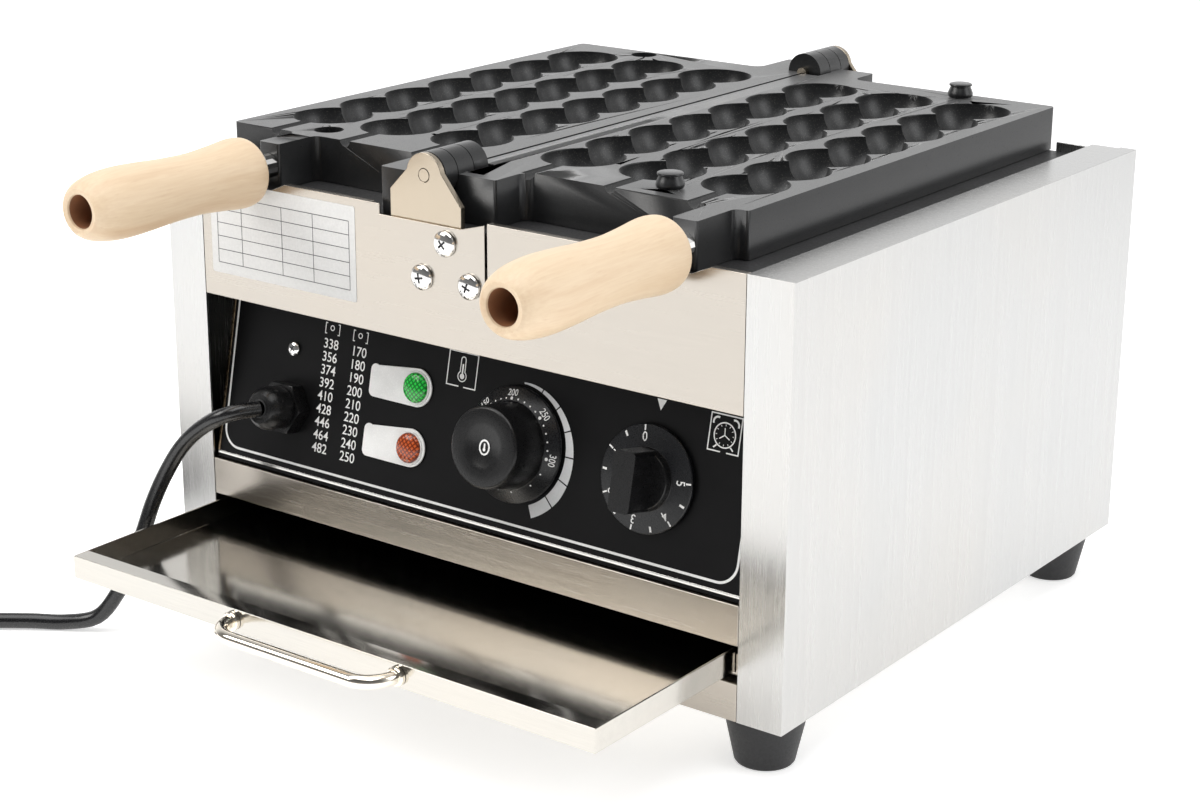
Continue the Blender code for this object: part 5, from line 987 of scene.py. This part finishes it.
def make_gland():
    """Hexagon body with chamfered corners, a round spigot, and a domed nut with grip flats."""
    body = piece("gland_body_fine", prism([(24 * MM / sqrt(3) * cos(i * pi / 3), 24 * MM / sqrt(3) * sin(i * pi / 3))
                                           for i in range(6)], 0.3 * MM, 8.3 * MM), LOOK["plastic"])
    join(body, rod(7.7 * MM, -10.5 * MM, 7.1 * MM))
    cone = lathe([(12.3 * MM, 0), (20 * MM, -4.4 * MM), (20 * MM, 14 * MM), (12.3 * MM, 8.6 * MM), (14.3 * MM, 7.4 * MM),
                  (14.3 * MM, 1.2 * MM)])
    cut(body, cone)
    cut(body, rod(4.7 * MM, -13 * MM, 11 * MM))
    soften(body, 0.35 * MM, 2)
    turned(body.data, PANEL @ at(-115 * MM, 32.5 * MM, 0))
    stands_for(body, "gland_body", "case")
    start, tip = 8.6 * MM, 22.0 * MM
    dome = smooth_profile([(11 * MM, start + 6.4 * MM), (10.6 * MM, start + 9 * MM), (9.4 * MM, start + 11.4 * MM),
                           (8.3 * MM, tip - 0.6 * MM)], 5)
    profile = [(4.7 * MM, start), (10.6 * MM, start), (11 * MM, start + 0.4 * MM), *dome, (7.4 * MM, tip),
               (4.7 * MM, tip)]
    nut = piece("gland_dome_nut_fine", lathe(profile), LOOK["plastic"])
    flats = []
    for i in range(10):
        angle = i * pi / 5
        flat = box((10.55 * MM, -5 * MM, start + 0.9 * MM), (14 * MM, 5 * MM, start + 6.2 * MM))
        flats.append(turned(flat, Matrix.Rotation(angle, 4, "Z")))
    cut(nut, *flats)
    turned(nut.data, PANEL @ at(-115 * MM, 32.5 * MM, 0))
    smooth(nut, 28)
    stands_for(nut, "gland_dome_nut", "case")
    sleeve = lathe([(4.1 * MM, 7 * MM), (4.62 * MM, 7 * MM), (4.62 * MM, tip + 0.2 * MM), (4.1 * MM, tip + 0.4 * MM)])
    seal = piece("gland_seal", turned(sleeve, PANEL @ at(-115 * MM, 32.5 * MM, 0)), LOOK["rubber"])
    smooth(seal)
    added(seal, "case")


make_temperature_knob()
make_timer_knob()
make_lamp("power", 57.6 * MM, LOOK["green"])
make_lamp("heat", 28.1 * MM, LOOK["amber"])
make_gland()


# ---- printed marks ----

INK_LIFT, INK_THICK = 0.02 * MM, 0.05 * MM


class Print:
    """Thin printed shapes gathered in one mesh, drawn in x and y and raised a little in z."""

    def __init__(self):
        self.bm = bmesh.new()

    def face(self, points, z=0.0):
        verts = [self.bm.verts.new((x, y, INK_LIFT + INK_THICK + z)) for x, y in points]
        self.bm.faces.new(verts)

    def strip(self, points, width, closed=False):
        """A line of even width along points, mitred at its corners."""
        points = [Vector(p) for p in points]
        count = len(points)
        left, right = [], []
        for i, here in enumerate(points):
            before = points[i - 1] if closed or i else None
            after = points[(i + 1) % count] if closed or i < count - 1 else None
            headings = [(b - a).normalized() for a, b in ((before, here), (here, after)) if a is not None and b is not None]
            normals = [Vector((-h.y, h.x)) for h in headings]
            normal = sum(normals, Vector((0, 0))).normalized()
            reach = width / 2 / max(normal.dot(normals[0]), 0.35)
            left.append(here + normal * reach)
            right.append(here - normal * reach)
        pairs = range(count if closed else count - 1)
        for i in pairs:
            j = (i + 1) % count
            self.face([left[i], right[i], right[j], left[j]])

    def disc(self, x, y, radius, points=20):
        self.face(arc((x, y), radius, 0, 360 - 360 / points, points))

    def text(self, words, x, y, size, turn=0.0, stretch=0.96, matrix=None):
        curve = bpy.data.curves.new("words", "FONT")
        curve.body = words
        curve.size = size
        curve.align_x = "CENTER"
        curve.align_y = "CENTER"
        curve.resolution_u = 5
        curve.offset = 0.006 * size
        obj = bpy.data.objects.new("words", curve)
        bpy.context.scene.collection.objects.link(obj)
        bpy.context.view_layer.update()
        shaped = obj.evaluated_get(bpy.context.evaluated_depsgraph_get())
        mesh = bpy.data.meshes.new_from_object(shaped)
        bpy.data.objects.remove(obj, do_unlink=True)
        low = min(v.co.y for v in mesh.vertices)
        high = max(v.co.y for v in mesh.vertices)
        centre = (low + high) / 2
        mesh.transform(Matrix.Translation((0, -centre, 0)))
        mesh.transform(Matrix.Diagonal((stretch, 1, 1, 1)))
        place = Matrix.Translation((x, y, INK_LIFT + INK_THICK)) @ Matrix.Rotation(turn, 4, "Z")
        mesh.transform(matrix @ place if matrix else place)
        self.bm.from_mesh(mesh)

    def piece(self, name, look, matrix, body, material_slot):
        mesh = bpy.data.meshes.new(name)
        bmesh.ops.triangulate(self.bm, faces=self.bm.faces)
        self.bm.to_mesh(mesh)
        self.bm.free()
        mesh.transform(matrix)
        obj = piece(name, mesh, look)
        return added(obj, body)


def mm(points):
    return [(x * MM, y * MM) for x, y in points]


def panel_marks():
    ink = Print()
    border = [(-156.7, 83)] + arc((-146.7, 14.8), 10, 180, 270, 12) + arc((146.7, 14.8), 10, -90, 0, 12) + [(156.7, 83)]
    ink.strip(mm(border), 1.2 * MM)
    for i in range(9):
        ink.text(str(338 + 18 * i), -92.5 * MM, (68.4 - 6.54 * i) * MM, 6.9 * MM)
        ink.text(str(170 + 10 * i), -74 * MM, (67.8 - 6.56 * i) * MM, 6.9 * MM)
    for x, s in ((-92.5, 75.9), (-74, 75.3)):
        for side in (-1, 1):
            edge = x + side * 4.6
            ink.strip(mm([(edge - side * 1.1, s + 2.6), (edge, s + 2.6), (edge, s - 2.6), (edge - side * 1.1, s - 2.6)]),
                      0.5 * MM)
        ink.strip(mm(arc((x - 0.2, s + 0.4), 1.2, 0, 330, 12)), 0.5 * MM, True)
    # Thermometer in a frame that is open below
    ink.strip(mm([(-10.2, 62.9), (-17.6, 62.9), (-17.6, 79.4), (-0.1, 79.4), (-0.1, 62.9), (-7.2, 62.9)]), 0.6 * MM)
    bulb = arc((-8.7, 67.9), 2.5, 125, 415, 20)
    stem = arc((-8.7, 75.9), 1.35, 0, 180, 9)
    ink.strip(mm(bulb + stem), 0.5 * MM, True)
    ink.disc(-8.7 * MM, 67.9 * MM, 1.35 * MM)
    ink.strip(mm([(-8.7, 68.5), (-8.7, 73.8)]), 0.9 * MM)
    # Alarm clock in a frame that is open below
    ink.strip(mm([(139.4, 62), (132.6, 62), (132.6, 78.6), (148.8, 78.6), (148.8, 62), (142.6, 62)]), 0.6 * MM)
    ink.strip(mm(arc((140.7, 69.6), 5.6, 0, 345, 24)), 0.6 * MM, True)
    for i in range(12):
        a = radians(30 * i)
        ink.strip(mm([(140.7 + 4.1 * cos(a), 69.6 + 4.1 * sin(a)), (140.7 + 4.9 * cos(a), 69.6 + 4.9 * sin(a))]), 0.3 * MM)
    for a in (95, -30, 215):
        ink.strip(mm([(140.7, 69.6), (140.7 + 3.2 * cos(radians(a)), 69.6 + 3.2 * sin(radians(a)))]), 0.5 * MM)
    for side in (-1, 1):
        bell = arc((140.7 + side * 4.4, 74.8), 2.3, 90 - side * 90 - side * 20, 90 + side * 90 - side * 70, 10)
        ink.strip(mm(bell), 0.9 * MM)
        ink.strip(mm([(140.7 + side * 3.6, 64.8), (140.7 + side * 5.2, 63.4)]), 0.7 * MM)
    # Pointer over the timer
    ink.face(mm([(103.0, 79.0), (105.6, 73.9), (108.2, 79.0)]))
    ink.piece("panel_white_print", LOOK["ink"], PANEL, "case", "lamp_plate")
    scale = Print()
    for i in range(7):
        begin = 89.0 - 22.4 * i
        end = begin - 21.2
        inner, outer = [], []
        for k in range(9):
            a = begin + (end - begin) * k / 8
            share = (90 - a) / 157
            inner.append(arc((28, 42.5), 28.9, a, a, 2)[0])
            outer.append(arc((28, 42.5), 28.9 + 0.7 + 5.5 * min(share * 1.25, 1.0), a, a, 2)[0])
        scale.face(mm(inner + outer[::-1]))
    scale.piece("temperature_scale_print", LOOK["grey_ink"], PANEL, "case", "lamp_plate")
    trim = piece("panel_lower_trim", turned(box((-160 * MM, 0.1 * MM, 0.05 * MM), (160 * MM, 1.5 * MM, 0.4 * MM)), PANEL),
                 LOOK["silver_trim"])
    soften(trim, 0.12 * MM, 2)
    added(trim, "case")
    edge = piece("panel_left_edge", turned(box((-160.4 * MM, 1.6 * MM, 0.05 * MM), (-158.9 * MM, 86 * MM, 0.6 * MM)), PANEL),
                 LOOK["bronze"])
    soften(edge, 0.15 * MM, 2)
    added(edge, "case")


def skirt_matrix(x, radius, height, slope, angle):
    """The place on a dial skirt at an angle, its y pointing outward down the slope."""
    turn = Matrix.Rotation(angle - pi / 2, 4, "Z")
    return (PANEL @ at(x, DIAL_S, 0) @ turn @ at(0, radius, height) @ Matrix.Rotation(-slope, 4, "X"))


def dial_marks():
    dial = Print()
    slope = atan2(2.4, 6.3)

    def height(radius):
        return (5.1 - (radius / MM - 20.9) * 2.4 / 6.3) * MM + 0.04 * MM

    for number, angle in ((150, 138), (200, 96), (250, 46), (300, -6)):
        r = 24.6 * MM
        dial.text(str(number), 0, 0, 4.6 * MM, 0, 0.85, matrix=skirt_matrix(DIAL_TEMP, r, height(r), slope, radians(angle)))
        r = 21.9 * MM
        matrix = skirt_matrix(DIAL_TEMP, r, height(r), slope, radians(angle))
        dot_on(dial, matrix, 0.8 * MM)
    for start, end in ((138, 96), (96, 46), (46, -6), (-6, -58), (-58, -110)):
        for k in range(1, 5):
            angle = start + (end - start) * k / 5
            if start < 0 and k % 2:
                continue
            r = 21.9 * MM
            dot_on(dial, skirt_matrix(DIAL_TEMP, r, height(r), slope, radians(angle)), 0.45 * MM)
    face = PANEL @ at(DIAL_TEMP, DIAL_S, 23.75 * MM)
    ring = [(2.7 * MM * cos(a), 3.3 * MM * sin(a)) for a in (2 * pi * i / 28 for i in range(28))]
    badge = Print()
    badge.strip(ring, 0.85 * MM, True)
    stem = arc((0, -1.05), 0.8, 130, 410, 14) + arc((0, 1.5), 0.45, 0, 180, 7)
    badge.face(mm(stem))
    badge.piece("temperature_knob_mark", LOOK["ink"], face, "temperature_knob", "lamp_plate")
    dial.piece("temperature_dial_numbers", LOOK["ink"], Matrix.Identity(4), "temperature_knob", "lamp_plate")
    timer = Print()
    slope = atan2(0.95, 9.8)
    for i in range(6):
        angle = radians(99 + 53.4 * i)
        r = 19.3 * MM
        timer.text(str(i), 0, 0, 6.2 * MM, 0, 0.9, matrix=skirt_matrix(DIAL_TIME, r, 3.65 * MM, slope, angle))
        tick_on(timer, skirt_matrix(DIAL_TIME, 23.3 * MM, 3.27 * MM, slope, angle), 0.8 * MM, 2.6 * MM)
        if i < 5:
            half = angle + radians(26.7)
            tick_on(timer, skirt_matrix(DIAL_TIME, 22.6 * MM, 3.33 * MM, slope, half), 1.1 * MM, 2.6 * MM)
    timer.piece("timer_dial_numbers", LOOK["ink"], Matrix.Identity(4), "timer_knob", "lamp_plate")


def dot_on(ink, matrix, radius):
    verts = [ink.bm.verts.new(matrix @ Vector((x, y, INK_LIFT + INK_THICK))) for x, y in arc((0, 0), radius, 0, 330, 12)]
    ink.bm.faces.new(verts)


def tick_on(ink, matrix, width, length):
    corners = [(-width / 2, -length / 2), (width / 2, -length / 2), (width / 2, length / 2), (-width / 2, length / 2)]
    verts = [ink.bm.verts.new(matrix @ Vector((x, y, INK_LIFT + INK_THICK))) for x, y in corners]
    ink.bm.faces.new(verts)


def front_label():
    """White label with ruled lines and nothing written on it."""
    upright = Matrix.Translation((0, SHIFT, CASE_BOTTOM)) @ TO_FRONT
    left, right, low, high = -155.0, -59.2, 155.6, 202.4
    label = piece("front_label", turned(prism(mm(rounded([(left, low, 1.2), (right, low, 1.2), (right, high, 1.2),
                                                          (left, high, 1.2)])), 0.02 * MM, 0.18 * MM), upright),
                  LOOK["label"])
    soften(label, 0.05 * MM, 1)
    added(label, "case")
    rules = Print()
    x0, x1 = left + 4.5, right - 4.0
    z0, z1 = low + 5.5, high - 7.5
    columns = [x0, x0 + 16.5, x0 + 43.5, x0 + 64, x1]
    rows = [z0 + (z1 - z0) * i / 5 for i in range(6)]
    for x in columns:
        rules.strip(mm([(x, z0), (x, z1)]), 0.35 * MM)
    for z in rows:
        rules.strip(mm([(x0, z), (x1, z)]), 0.35 * MM)
    rules.piece("front_label_rules", LOOK["rule_ink_and_recess_shade"], upright @ at(0, 0, 0.18 * MM), "case", "lamp_plate")


panel_marks()
dial_marks()
front_label()
